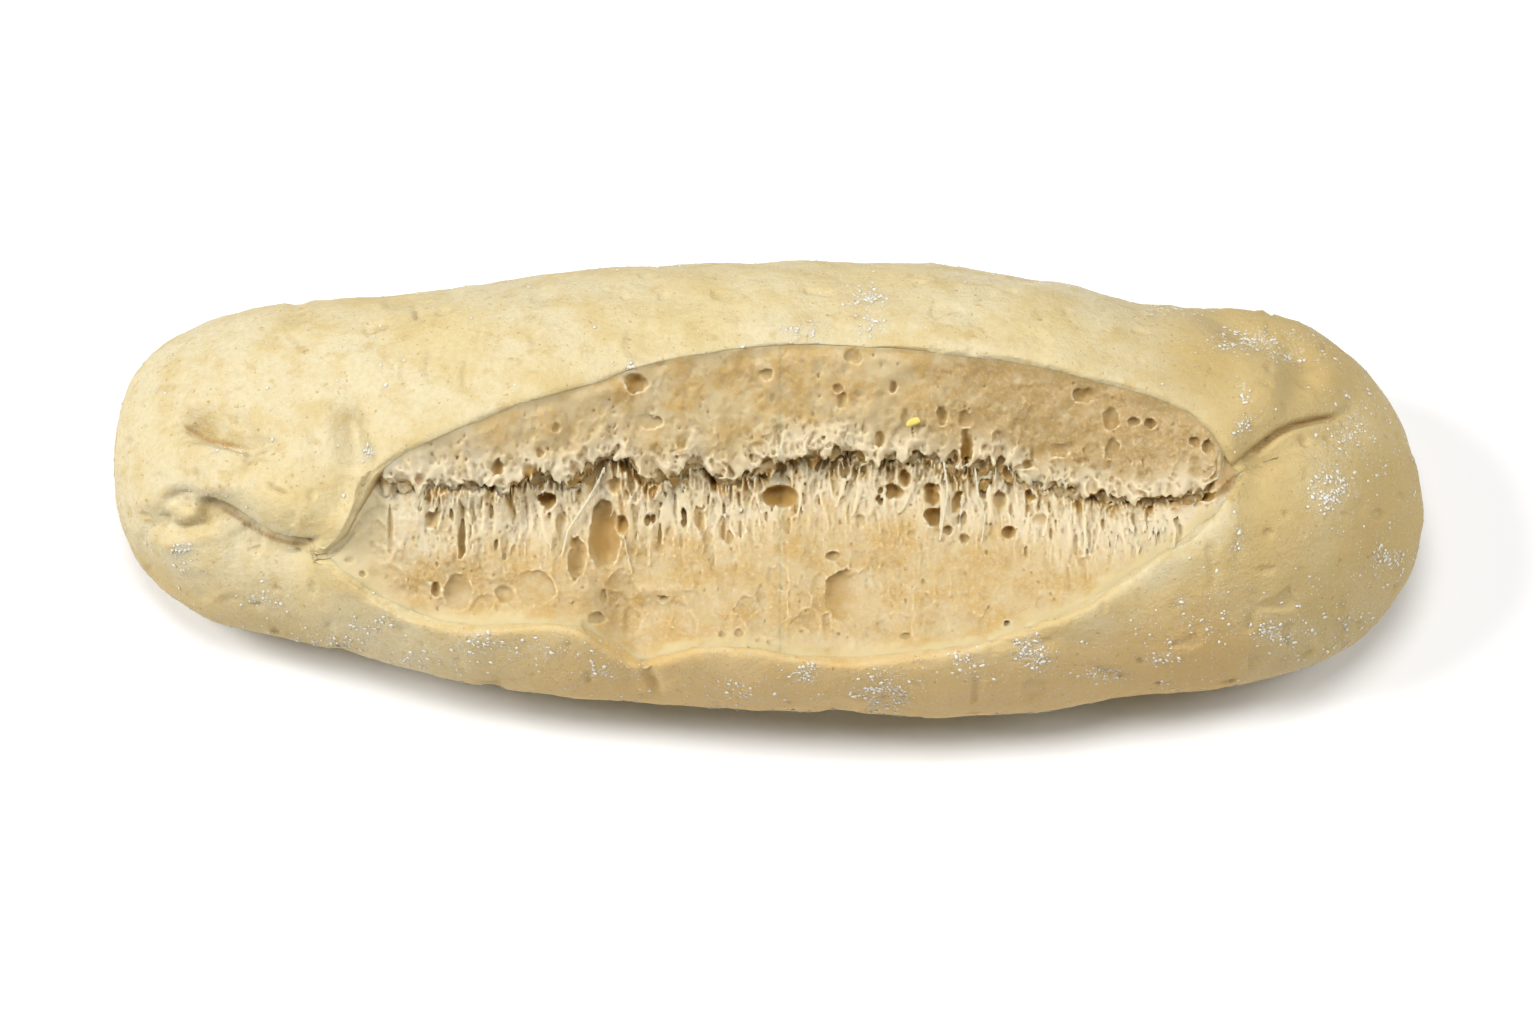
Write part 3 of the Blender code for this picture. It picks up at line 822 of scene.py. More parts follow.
def makeTornWall(name, material, left, right, ends):
    print("Torn wall:", name)
    look = wallLook
    top = upperLip.min() - look["margin"]
    block = Block(left, right, top, look["lowest"], *look["depth"], look["step"])
    flatX, flatY = block.flatX, block.flatY
    w = block.w[None, None, :]
    inTips = (ease((block.px - leftTip - 35) / 30) * ease((rightTip - 6 - block.px) / 30))[:, None]

    # torn skin with a ragged lower edge: sharp points with round gaps between them, different at every depth
    x3 = block.px[:, None] / pixelsPerMm
    z3 = block.w[None, :]
    edge = lineAt(tornEdge, block.px)[:, None] / pixelsPerMm + 0 * z3
    above = edge[:, None, :1] - (flatY / pixelsPerMm)[:, :, None]
    teeth = 0.0
    for k, (spacing, length) in enumerate(look["teeth"]):
        noise = softNoise(x3 / spacing + 3 * k, z3 / (0.7 + spacing / 2), 2.0 + k)
        ridge = 1 - np.abs(noise) * 2.4
        longer = 0.65 + 0.7 * softNoise(x3 / 2.3, 0.0, 4.4 + k)
        teeth = teeth + length * longer * (np.clip(ridge, -0.3, 1) - 0.2)
    edge = edge + inTips * teeth
    block.fill(wallHeight(flatX, flatY))
    block.keepWithin((edge[:, None, :] - (flatY / pixelsPerMm)[:, :, None]) * 0.8)
    thick = look["curtain"] + 1.2 * np.maximum(above - 0.3, 0) + 9 * (1 - inTips[:, None, :])
    block.keepWithin((w + thick).astype(np.float32))
    curtain = block.solid

    # crumb behind it, that reaches further down
    block.fill(ledgeHeight(flatX, flatY))
    reach = ledgeReach(block.px)[:, None]
    for gap, half, short in look["gaps"]:
        reach = reach - short * bell((block.px - gap) / half)[:, None]
    lower = edge + (0.6 * teeth + reach) * inTips
    block.keepWithin((lower[:, None, :] - (flatY / pixelsPerMm)[:, :, None]) * 0.8)
    block.solid = softMax(block.solid, curtain, 0.15).astype(np.float32)
    block.keepWithin(((flatY - lineAt(upperLip, flatX)) / pixelsPerMm + 1.6)[:, :, None])
    block.keepWithin((w - look["depth"][0] - 0.3).astype(np.float32))

    for px, py, rx, ry, depth in wallPores:
        surface = heightAt(wallHeight, px, py)
        block.scoop(px, py, surface - 0.1 * depth, rx / pixelsPerMm, ry / pixelsPerMm, depth,
                    0.3, 0.1, 0.9)
    draw = np.random.default_rng(5)
    for _ in range(look["ledgeBubbles"]):
        px = draw.uniform(leftTip + 55, rightTip - 14)
        share = draw.uniform(-0.15, 1.1)
        py = lineAt(tornEdge, px) + share * ledgeReach(px) * pixelsPerMm
        smallest, largest = look["ledgeBubbleSizes"]
        size = smallest + (largest - smallest) * draw.uniform() ** 2
        smallBubble(block, draw, ledgeHeight, (px, py), size, 2.2, 1.1, 0.12)
    for _ in range(look["webBubbles"]):
        middle, half, reach = look["web"]
        px = draw.normal(middle, half * 0.75)
        py = lineAt(tornEdge, px) + draw.uniform(*look["webBubbleRows"])
        size = draw.uniform(*look["webBubbleSizes"])
        depth = draw.uniform(*look["webBubbleDepths"])
        block.scoop(px, py, depth, size, size * draw.uniform(1, 2), size * 0.7, 0.1, 0.05)
    for _ in range(look["pits"]):
        px = draw.uniform(leftTip + 20, rightTip - 6)
        top, low = lineAt(upperLip, px) + 5, lineAt(tornEdge, px) + 4
        py = low - (low - top) * draw.uniform() ** 1.4
        size = draw.uniform(*look["pitSizes"]) * (1 + 0.8 * bell((low - py) / 22))
        smallBubble(block, draw, wallHeight, (px, py), size, 1.7, 1.3, 0.08)
    for end, direction in ends:
        block.sinkPast(end, direction)
    mesh = block.toMesh(name, wallPlane)
    tidyCrumb(mesh, 1)

    px, py, rise = seenAt(readPoints(mesh))
    depth = wallHeight(px, py, 0.3) - (rise - planeRise(wallPlane, px, py))
    above = (lineAt(tornEdge, px) - py) / pixelsPerMm
    # for painted shade in hollows and painted highlights on rims
    writeAttribute(mesh, "hollowShadeRimLight", hollowShadeRimLight(mesh))
    # painted shade: golden brown in pores and on the ledge under the torn edge
    writeAttribute(mesh, "paintedPitShade", np.clip((depth - 0.15) / 1.8, 0, 1) * ease((above + 0.5) / 1.5)
                   + 0.7 * ease((depth - 0.9) / 1.5) * ease((0.5 - above) / 1.5))
    x, y = px / pixelsPerMm, py / pixelsPerMm
    ragged = above + waves(x, y, look["ragged"])
    torn = 0.9 * bell(np.maximum(ragged, 0) / 4.2) - 0.5 * np.clip(depth / 1.2, 0, 1)
    # painted light: the torn wall is paler towards the left, where the light comes from
    torn = (torn + 0.35 * ease((620 - px) / 200)) * ease((1220 - px) / 20)
    writeAttribute(mesh, "torn", np.clip(torn, 0, 1))
    # painted shade: the torn wall turns browner towards the right, away from the light
    writeAttribute(mesh, "tanAndShade", ease((px - 820) / 240))
    writeAttribute(mesh, "skin", 0.0 * px)
    return addPiece(name, mesh, material)


# Floor of the burst, from the crevice to the near lip, with the strands that were drawn out of it
floorLook = {
    "step": 1.5,
    "depth": (-3.6, 6.0),
    "swell": 0.5,
    "fibreSpacing": (1.35, 5.0),  # across and along the tear
    "fibreDepth": 0.4,
    "folds": [(0.5, 1.9, 8, 2.7), (0.25, 0.9, 5, 7.2)],  # drawn up to the torn edge
    "bends": [(0.7, 2.2, 5, 2.2), (0.3, 0.9, 2, 4.2)],    # of the cells
    "ragged": [(2.6, 2.6, 5, 6.6), (1.6, 0.8, 2, 2.6)],   # limit of the pale drawn crumb
    "skinWander": [(1.0, 3, 3, 4.9), (0.5, 0.9, 0.9, 6.9)],  # limit of the skin along the near lip
    "ramp": (0.76, 6.6),    # the drawn crumb goes up to this share of the wall's edge, over this many mm
    "sponge": 0.2,
    "strands": 70,
    "strandThick": (0.03, 0.08),
    "longBubbles": 150,     # drawn out along the tear, below the crevice
    "longBubbleSizes": (0.14, 0.42),
    "pits": 420,
    "pitSizes": (0.10, 0.28),
    "stepDown": -0.04,      # from the crust to the crumb at the near lip
    "joinWidth": 1.9,       # over which it passes into the crust there
    "overhang": 0.3,        # how far the crumb lies under the upper lip at both tips
    "margin": 14,           # rows kept past the torn edge and the near lip
    "bent": (0.75, 0.3),    # how far small and large bubbles are bent out of shape
    "largePore": 12,        # pixels
    "span": (400, 1205),    # columns with strands
    "bubbleSpan": (402, 1200),  # columns with drawn out bubbles
}
# Open bubbles in the floor: place, half width and half height in pixels, depth in mm
floorPores = [
    (604, 536, 15, 36, 2.4), (592, 478, 9, 9, 1.5), (613, 485, 7, 8, 1.3), (622, 524, 8, 9, 2.0),
    (577, 558, 9, 20, 1.8), (436, 590, 5, 7, 1.6), (458, 592, 13, 18, 1.1), (505, 594, 9, 8, 1.3),
    (535, 588, 20, 17, 0.9), (604, 597, 4, 7, 1.0), (598, 618, 10, 6, 1.3), (664, 599, 4, 4, 0.7),
    (722, 634, 4, 4, 0.7), (739, 633, 5, 4, 0.7), (833, 556, 7, 5, 1.0), (844, 595, 19, 28, 1.5),
    (862, 597, 18, 26, 0.6), (926, 600, 5, 6, 0.6), (886, 575, 6, 14, 0.6), (907, 575, 5, 12, 0.5),
    (1007, 625, 5, 5, 0.5), (773, 643, 8, 4, 0.4), (905, 636, 5, 3, 0.6), (547, 500, 9, 10, 2.4),
    (781, 496, 19, 11, 2.6), (891, 492, 14, 8, 2.0), (934, 517, 11, 11, 2.6), (1009, 532, 7, 6, 2.0),
    (964, 538, 5, 5, 1.6), (684, 516, 5, 12, 1.8), (730, 536, 5, 8, 1.2), (462, 538, 4, 24, 1.6),
    (961, 520, 5, 6, 1.4), (700, 520, 4, 10, 1.2), (430, 520, 8, 9, 1.2), (390, 530, 3, 24, 0.8),
    (1204, 497, 12, 5, 1.8), (912, 534, 6, 5, 1.0), (1040, 520, 8, 6, 1.0), (760, 640, 5, 3, 0.4),
    (690, 630, 5, 3, 0.3), (640, 560, 5, 8, 0.5), (1000, 500, 6, 9, 1.2), (860, 520, 5, 7, 0.8),
    (650, 520, 6, 8, 1.4), (931, 495, 9, 10, 2.4), (905, 478, 7, 10, 2.0), (958, 502, 6, 11, 1.8),
    (985, 488, 7, 13, 2.0), (948, 530, 5, 5, 1.4), (880, 500, 5, 6, 1.4), (1030, 496, 6, 7, 1.5),
    (560, 524, 6, 9, 1.2), (660, 548, 5, 6, 0.8), (350, 560, 5, 3, 0.4), (362, 574, 4, 3, 0.4),
    (372, 545, 4, 5, 0.4),
]
# Thick strands that show one by one: places from the wall's edge down to the floor, with the
# share of the wall's height over the floor that each has, and half thickness in mm
boldStrands = [
    ([(604, 468, 0.74), (598, 482, 0.52), (590, 496, 0.36), (580, 512, 0.2), (568, 530, 0.07),
      (562, 556, 0)], 0.22),
    ([(604, 470, 0.72), (609, 486, 0.48), (616, 502, 0.3), (622, 524, 0.12), (626, 548, 0.03),
      (632, 574, 0)], 0.13),
    ([(590, 494, 0.36), (587, 512, 0.2), (588, 534, 0.08), (592, 552, 0.03), (598, 572, 0)], 0.14),
    ([(640, 478, 0.9), (641, 494, 0.55), (637, 514, 0.25), (638, 540, 0.05)], 0.1),
    ([(925, 462, 0.95), (922, 490, 0.7), (915, 514, 0.3), (916, 536, 0)], 0.2),
    ([(944, 462, 0.95), (948, 490, 0.7), (944, 514, 0.3), (940, 540, 0)], 0.22),
    ([(975, 468, 0.95), (978, 494, 0.7), (985, 516, 0.3), (982, 540, 0)], 0.2),
    ([(1000, 470, 0.9), (994, 500, 0.6), (992, 530, 0.2)], 0.18),
    ([(905, 466, 0.9), (908, 492, 0.6), (918, 510, 0.35)], 0.18),
    ([(800, 462, 0.9), (805, 488, 0.6), (803, 520, 0.1)], 0.12),
    ([(756, 476, 0.9), (757, 498, 0.5), (760, 526, 0.1)], 0.12),
    ([(728, 486, 0.9), (738, 506, 0.4), (744, 530, 0.1)], 0.14),
    ([(713, 476, 0.9), (717, 500, 0.5), (712, 530, 0.1)], 0.12),
    ([(654, 484, 0.9), (657, 506, 0.5), (652, 530, 0.1)], 0.12),
    ([(438, 490, 0.9), (441, 512, 0.5), (440, 540, 0.05)], 0.12),
    ([(420, 490, 0.9), (424, 506, 0.4), (422, 520, 0.1)], 0.3),
    ([(512, 492, 0.9), (511, 510, 0.4), (514, 530, 0.1)], 0.1),
]


# height in mm of the wall's torn edge over the floor's plain surface, in every column
edgeOver = (planeRise(wallPlane, allX, tornEdge) - planeRise(floorPlane, allX, tornEdge)
            + 0.4 * wallLook["curl"])


def overFloor(px, py, share):
    # height in mm over the floor's plain surface of a share of the way up to the wall's edge
    return px, py, share * lineAt(edgeOver, px)


def rampHeight(px, py):
    # the drawn crumb between the floor and the wall's edge
    x, y = px / pixelsPerMm, py / pixelsPerMm
    below = y - lineAt(tornEdge, px) / pixelsPerMm
    share, length = floorLook["ramp"]
    length = length * (1 + 0.35 * softNoise(x / 2.7, y / 12, 4.7) + 0.2 * softNoise(x / 0.9, y / 8, 1.7))
    length += 3.2 * bell((px - 602) / 28)
    middle, half, _ = wallLook["web"]
    share = share + 0.12 * bell((px - middle) / half)
    ends = ease((px - 392) / 40) * ease((1216 - px) / 70)
    t = np.clip(1 - below / length, 0, 1.15)
    return ends * share * np.clip(lineAt(edgeOver, px), 0, 6) * t ** 1.6


def floorHeight(px, py, cells=1.0):
    x, y = px / pixelsPerMm, py / pixelsPerMm
    look = floorLook
    below = (py - lineAt(tornEdge, px)) / pixelsPerMm
    toLip = (lineAt(nearLip, px) - py) / pixelsPerMm
    ramp = rampHeight(px, py)
    height = ramp + look["swell"] * layeredNoise(x / 8, y / 10, 6.2, 3)
    ragged = 1.6 * softNoise(x / 2.5, y / 6, 5.5)
    ends = ease((px - 392) / 40) * ease((1200 - px) / 60)
    fibres = ease(1 - (below + ragged - 9) / 9) * ends
    # drawn folds and cells, deeper where the crumb was drawn further
    height += fibres * waves(x, y, look["folds"])
    bend = waves(x, y, look["bends"])
    wall, name = bubbleCells(x / look["fibreSpacing"][0] + bend, y / look["fibreSpacing"][1] + bend, 13)
    deep = look["fibreDepth"] + 0.42 * ramp
    height -= cells * fibres * deep * ease(wall / 0.5) * (0.45 + 0.55 * name)
    wall, name = bubbleCells(x / 0.6 + bend, y / 2.6, 21)
    height -= cells * fibres * (0.16 + 0.1 * ramp) * ease(wall / 0.45)
    # soft mounds further down
    height += (1 - fibres) * ends * 0.8 * softNoise(x / 4.5, y / 3.2, 9.9)
    height += (1 - fibres) * 0.25 * softNoise(x / 1.6 + 0.3 * bend, y / 2.2, 3.1)
    wall, name = bubbleCells(x / 3.1 + 0.4 * bend, y / 3.6 + 0.4 * bend, 27)
    height -= cells * (1 - fibres) * 0.4 * ease(wall / 0.3) * (0.5 + 0.5 * name) * ease((px - 345) / 40)
    wall, name = bubbleCells(x / 0.8, y / 0.9, 33)
    height -= cells * 0.10 * ease(wall / 0.45)
    height += look["sponge"] * layeredNoise(x / 0.7, y / 0.7, 7.7, 3)
    # a crevice falls away right under the wall, with a fringe of torn points
    points = 1 - 2.2 * np.abs(softNoise(x / 0.8, y / 4, 3.9))
    fringe = 0.7 * points + 1.1 * layeredNoise(x / 3.0, y / 3.0, 8.1)
    middle, half, _ = wallLook["web"]
    away = ease((px - 378) / 22) * ease((1226 - px) / 24) * (1 - 0.6 * bell((px - middle) / half))
    height -= 1.3 * away * ease(1 - (below + fringe) / 1.8)
    pastUpper = (lineAt(upperLip, px) - py) / pixelsPerMm / lineAt(upperSlant, px)
    joined = joinCrust(height, floorPlane, px, py, toLip / lineAt(nearSlant, px), look["joinWidth"],
                       look["stepDown"], look["overhang"])
    return joined - crumbJoin["sink"] * ease((pastUpper + 0.3) / 1.5)


def floorHeightSmooth(px, py):
    x, y = px / pixelsPerMm, py / pixelsPerMm
    return rampHeight(px, py) + floorLook["swell"] * layeredNoise(x / 8, y / 10, 6.2, 1)


def makeFloor(name, material, left, right, ends):
    print("Floor of the burst:", name)
    look = floorLook
    top, bottom = tornEdge.min() - look["margin"], nearLip.max() + look["margin"]
    block = Block(left, right, top, bottom, *look["depth"], look["step"])
    flatX, flatY = block.flatX, block.flatY
    block.fill(floorHeight(flatX, flatY))
    draw = np.random.default_rng(9)

    for px, py, rx, ry, depth in floorPores:
        surface = heightAt(floorHeightSmooth, px, py)
        bent = look["bent"][rx > look["largePore"]]
        block.scoop(px, py, surface - 0.1 * depth, rx / pixelsPerMm, ry / pixelsPerMm, depth,
                    0.3, 0.14, bent)
    for _ in range(look["longBubbles"]):
        px = draw.uniform(*look["bubbleSpan"])
        py = lineAt(tornEdge, px) + 26 + 70 * draw.uniform() ** 1.7
        size = draw.uniform(*look["longBubbleSizes"])
        height = heightAt(floorHeight, px, py) + draw.uniform(-0.3, 0.4)
        block.scoop(px, py, height, size, size * draw.uniform(1.5, 5), size * 1.6, 0.12)
    for _ in range(look["pits"]):
        px = draw.uniform(leftTip + 60, rightTip - 8)
        top, low = lineAt(tornEdge, px) + 8, lineAt(nearLip, px) - 8
        py = top + (low - top) * draw.uniform()
        size = draw.uniform(*look["pitSizes"])
        smallBubble(block, draw, floorHeight, (px, py), size, 1.8, 1.2, 0.08)

    for points, thick in boldStrands:
        for a, b in zip(points, points[1:]):
            block.strand(overFloor(*a), overFloor(*b), thick, thick, 0.3)
    for _ in range(look["strands"]):
        px = draw.uniform(*look["span"])
        edge = lineAt(tornEdge, px)
        thick = draw.uniform(*look["strandThick"])
        start = overFloor(px + draw.normal(0, 4), edge + draw.uniform(-2, 6), draw.uniform(0.8, 0.95))
        middle = overFloor(px + draw.normal(0, 3), edge + draw.uniform(10, 18), draw.uniform(0.36, 0.5))
        lower = overFloor(px + draw.normal(0, 4), edge + draw.uniform(26, 36), draw.uniform(0.03, 0.1))
        end = overFloor(px + draw.normal(0, 6), edge + draw.uniform(48, 66), -0.03)
        block.strand(start, middle, thick * 1.6, thick, 0.3)
        block.strand(middle, lower, thick, thick * 1.3, 0.4)
        block.strand(lower, end, thick * 1.3, thick * 2, 0.7)
    block.keepWithin(((lineAt(nearLip, flatX) - flatY) / pixelsPerMm + 2.6)[:, :, None])
    block.keepWithin(((flatY - lineAt(upperLip, flatX)) / pixelsPerMm + 0.9)[:, :, None])
    block.keepWithin((block.w - look["depth"][0] - 0.3)[None, None, :])
    for end, direction in ends:
        block.sinkPast(end, direction)
    mesh = block.toMesh(name, floorPlane)
    tidyCrumb(mesh, 1)

    px, py, rise = seenAt(readPoints(mesh))
    depth = floorHeight(px, py, 0.0) - (rise - planeRise(floorPlane, px, py))
    below = (py - lineAt(tornEdge, px)) / pixelsPerMm
    toLip = (lineAt(nearLip, px) - py) / pixelsPerMm
    # for painted shade in hollows and painted highlights on rims
    writeAttribute(mesh, "hollowShadeRimLight", hollowShadeRimLight(mesh))
    x, y = px / pixelsPerMm, py / pixelsPerMm
    ragged = below + waves(x, y, look["ragged"])
    # painted shade: a golden-brown band right under the torn edge, and in the pores
    shade = 0.75 * ease(1 - (below + 0.5 * (ragged - below)) / 3.4)
    writeAttribute(mesh, "paintedPitShade", np.clip((depth - 0.35) / 2.6 + shade, 0, 1) * ease((px - 385) / 20))
    writeAttribute(mesh, "torn", np.clip(ease(1 - (ragged - 4) / 10) * np.clip(1 - depth / 1.2, 0, 1), 0, 1))
    # the floor's own tan away from the torn crumb, and darker at the right tip
    tan = np.maximum(ease((ragged - 4) / 9) * ease(toLip / 3.5) * 0.4, 0.9 * ease((px - 1200) / 20))
    writeAttribute(mesh, "tanAndShade", tan)
    toSkin = toLip + waves(x, y, look["skinWander"])
    skin = np.maximum(ease(0.9 - toSkin / 2.6), 0.6 * ease((404 - px) / 30))
    writeAttribute(mesh, "skin", skin * ease((1222 - px) / 14))
    return addPiece(name, mesh, material)


# Materials
def fromHex(text):
    # sRGB hex to linear
    channels = [int(text[k:k + 2], 16) / 255 for k in (1, 3, 5)]
    return tuple(c / 12.92 if c <= 0.04045 else ((c + 0.055) / 1.055) ** 2.4 for c in channels) + (1.0,)


def addNode(tree, kind, inputs, settings=None, output=0):
    # inputs are plain values or outputs of other nodes
    node = tree.nodes.new(kind)
    for name, value in (settings or {}).items():
        setattr(node, name, value)
    for name, value in inputs.items():
        if isinstance(value, bpy.types.NodeSocket):
            tree.links.new(value, node.inputs[name])
        else:
            node.inputs[name].default_value = value
    return node.outputs[output]


def newMaterial(name, plain):
    # plain holds the shader's values that are the same all over
    material = bpy.data.materials.new(name)
    material.use_nodes = True
    shader = material.node_tree.nodes["Principled BSDF"]
    for socket, value in plain.items():
        shader.inputs[socket].default_value = value
    return material, material.node_tree, shader


def makePatterns(tree, noises, attributes):
    # noise of a spacing in mm, with its detail and roughness, and the values stored on the mesh
    coords = addNode(tree, "ShaderNodeTexCoord", {}, {}, "Object")
    patterns = {}
    for name, (spacing, detail, roughness) in noises.items():
        patterns[name] = addNode(tree, "ShaderNodeTexNoise", {
            "Vector": coords, "Scale": 1 / (spacing * mm), "Detail": detail, "Roughness": roughness})
    for name in attributes:
        patterns[name] = addNode(tree, "ShaderNodeAttribute", {}, {"attribute_name": name}, "Fac")
    return patterns


def paint(tree, patterns, base, layers):
    # lays colours over each other: where a pattern goes from low to high, the share of the colour
    # goes from least to most
    colour = fromHex(base)
    for source, (low, high), (least, most), top in layers:
        share = addNode(tree, "ShaderNodeMapRange", {
            "Value": patterns[source], "From Min": low, "From Max": high, "To Min": least, "To Max": most},
            {"interpolation_type": "SMOOTHSTEP"})
        colours = {0: share, 6: colour, 7: fromHex(top)}
        colour = addNode(tree, "ShaderNodeMix", colours, {"data_type": "RGBA"}, 2)
    return colour


def roughen(tree, patterns, bumps):
    # low relief that is too fine for the mesh: pattern, strength, height in mm
    normal = None
    for source, strength, height in bumps:
        inputs = {"Height": patterns[source], "Strength": strength, "Distance": height * mm}
        if normal:
            inputs["Normal"] = normal
        normal = addNode(tree, "ShaderNodeBump", inputs)
    return normal


def paintedMaterial(name, look, addPattern=None):
    material, tree, shader = newMaterial(name, look["plain"])
    patterns = makePatterns(tree, look["noises"], look["attributes"])
    if addPattern:
        addPattern(tree, patterns)
    tree.links.new(paint(tree, patterns, look["base"], look["layers"]), shader.inputs["Base Color"])
    if look["bumps"]:
        tree.links.new(roughen(tree, patterns, look["bumps"]), shader.inputs["Normal"])
    return material


# Part-baked wheat crust: starch gelled to a matt, slightly waxy skin, mottled cream and straw,
# tanned low down, tanned and painted in shade to the right, painted shade in sharp folds, a painted
# highlight along the near lip, dusted with flour
crustPaint = {
    "base": "#cec29f",
    "noises": {"slow": (22, 2, 0.5), "patchy": (6, 4, 0.6), "blotch": (3.2, 3, 0.6),
               "speckle": (0.8, 2, 0.5), "grain": (0.9, 3, 0.6), "pores": (0.42, 3, 0.7),
               "dust": (0.6, 3, 0.75), "cloud": (3.5, 3, 0.6)},
    "attributes": ("tanAndRightShade", "warm", "flour", "inside", "foldShade"),
    "layers": [
        ("slow", (0.35, 0.65), (0, 1), "#cbba8c"),
        ("patchy", (0.42, 0.68), (0, 0.75), "#c3ae7a"),
        ("blotch", (0.56, 0.72), (0, 0.6), "#b8a06c"),
        ("grain", (0.35, 0.7), (0, 0.22), "#b49b66"),
        # tan low down, and tan with painted shade towards the right end
        ("tanAndRightShade", (0, 1), (0, 1), "#b49c66"),
        ("warm", (0, 1), (0, 0.75), "#c9a668"),
        ("speckle", (0.66, 0.74), (0, 0.6), "#9f7d46"),
        ("pores", (0.2, 0.4), (0.3, 0), "#a98c55"),
        ("pores", (0.6, 0.8), (0, 0.3), "#d2c9b4"),
        ("floured", (0, 1), (0, 0.8), "#d5cfbe"),
        # painted shade at the bottom of sharp folds
        ("foldShade", (0, 1), (0, 0.6), "#916a34"),
        ("inside", (0, 1), (0, 1), "#a98e5e"),
    ],
    "bumps": [("patchy", 0.6, 0.6), ("grain", 0.7, 0.3), ("pores", 0.7, 0.16), ("floured", 0.6, 0.15)],
    "plain": {"Roughness": 0.7, "IOR": 1.45, "Specular IOR Level": 0.35, "Subsurface Weight": 0.3,
              "Subsurface Radius": (1.0, 0.65, 0.35), "Subsurface Scale": 2.0 * mm},
}


def addDust(tree, patterns):
    # flour lies in clouds of fine dust
    dust = addNode(tree, "ShaderNodeMapRange", {
        "Value": patterns["dust"], "From Min": 0.48, "From Max": 0.62})
    cloud = addNode(tree, "ShaderNodeMapRange", {
        "Value": patterns["cloud"], "From Min": 0.4, "From Max": 0.6, "To Min": 0.2})
    clouded = addNode(tree, "ShaderNodeMath", {0: patterns["flour"], 1: cloud}, {"operation": "MULTIPLY"})
    patterns["floured"] = addNode(tree, "ShaderNodeMath", {0: clouded, 1: dust}, {"operation": "MULTIPLY"})


# Torn wheat crumb: moist open foam that lets light through, palest where it was drawn thin,
# with painted golden shade in its pores, ledge and crevice, painted shade in hollows and painted highlights
# on rims
crumbPaint = {
    "base": "#c4b086",
    "noises": {"patchy": (5, 4, 0.6), "clouds": (2.2, 4, 0.65), "fine": (0.55, 3, 0.65)},
    "attributes": ("paintedPitShade", "torn", "tanAndShade", "hollowShadeRimLight", "skin"),
    "layers": [
        ("patchy", (0.4, 0.62), (0, 0.8), "#bb9b5c"),
        ("clouds", (0.5, 0.7), (0, 0.4), "#b08f57"),
        # tan of the floor, and painted shade towards the right of the torn wall
        ("tanAndShade", (0, 1), (0, 0.9), "#a98e5b"),
        ("torn", (0.0, 0.9), (0, 0.95), "#cabda0"),
        ("clouds", (0.28, 0.46), (0.45, 0), "#c9be9f"),
        ("fine", (0.45, 0.72), (0, 0.4), "#c9bea2"),
        ("fine", (0.24, 0.42), (0.25, 0), "#957441"),
        # painted shade in hollows
        ("hollowShadeRimLight", (-0.7, -0.1), (0.5, 0), "#a8874c"),
        # painted golden-brown shade in pores, on the ledge and in the crevice
        ("paintedPitShade", (0, 0.9), (0, 1), "#a58243"),
        # painted highlight on thin rims
        ("hollowShadeRimLight", (0.15, 0.7), (0, 0.75), "#cdc4aa"),
        ("skin", (0, 1), (0, 0.9), "#c9b88c"),
    ],
    "bumps": [("fine", 0.4, 0.12)],
    "plain": {"Roughness": 0.55, "IOR": 1.4, "Specular IOR Level": 0.4, "Subsurface Weight": 0.75,
              "Subsurface Radius": (1.0, 0.7, 0.35), "Subsurface Scale": 2.0 * mm},
}


# Dry wheat flour: soft white grains
flourPaint = {
    "base": "#dbd8cf",
    "noises": {"slow": (1.5, 2, 0.5)},
    "attributes": (),
    "layers": [("slow", (0.3, 0.7), (0, 1), "#d5cebd")],
    "bumps": [],
    "plain": {"Roughness": 0.9, "Specular IOR Level": 0.2},
}


# Flour on the crust: single grains, and clumps in the floury places. Sizes are half sizes.
grains = {
    "single": {"count": 22000, "sizes": (0.04, 0.13), "sharpness": 1.2, "sides": (4, 2)},
    "clumps": {"count": 5600, "sizes": (0.10, 0.32), "sharpness": 3.0, "sides": (6, 3)},
    "flatness": (0.2, 0.42),
    "stray": 0.012,   # chance of a grain away from floury places
    "fromLip": -0.3,  # mm to the burst
    "fromTable": 1.0,
}


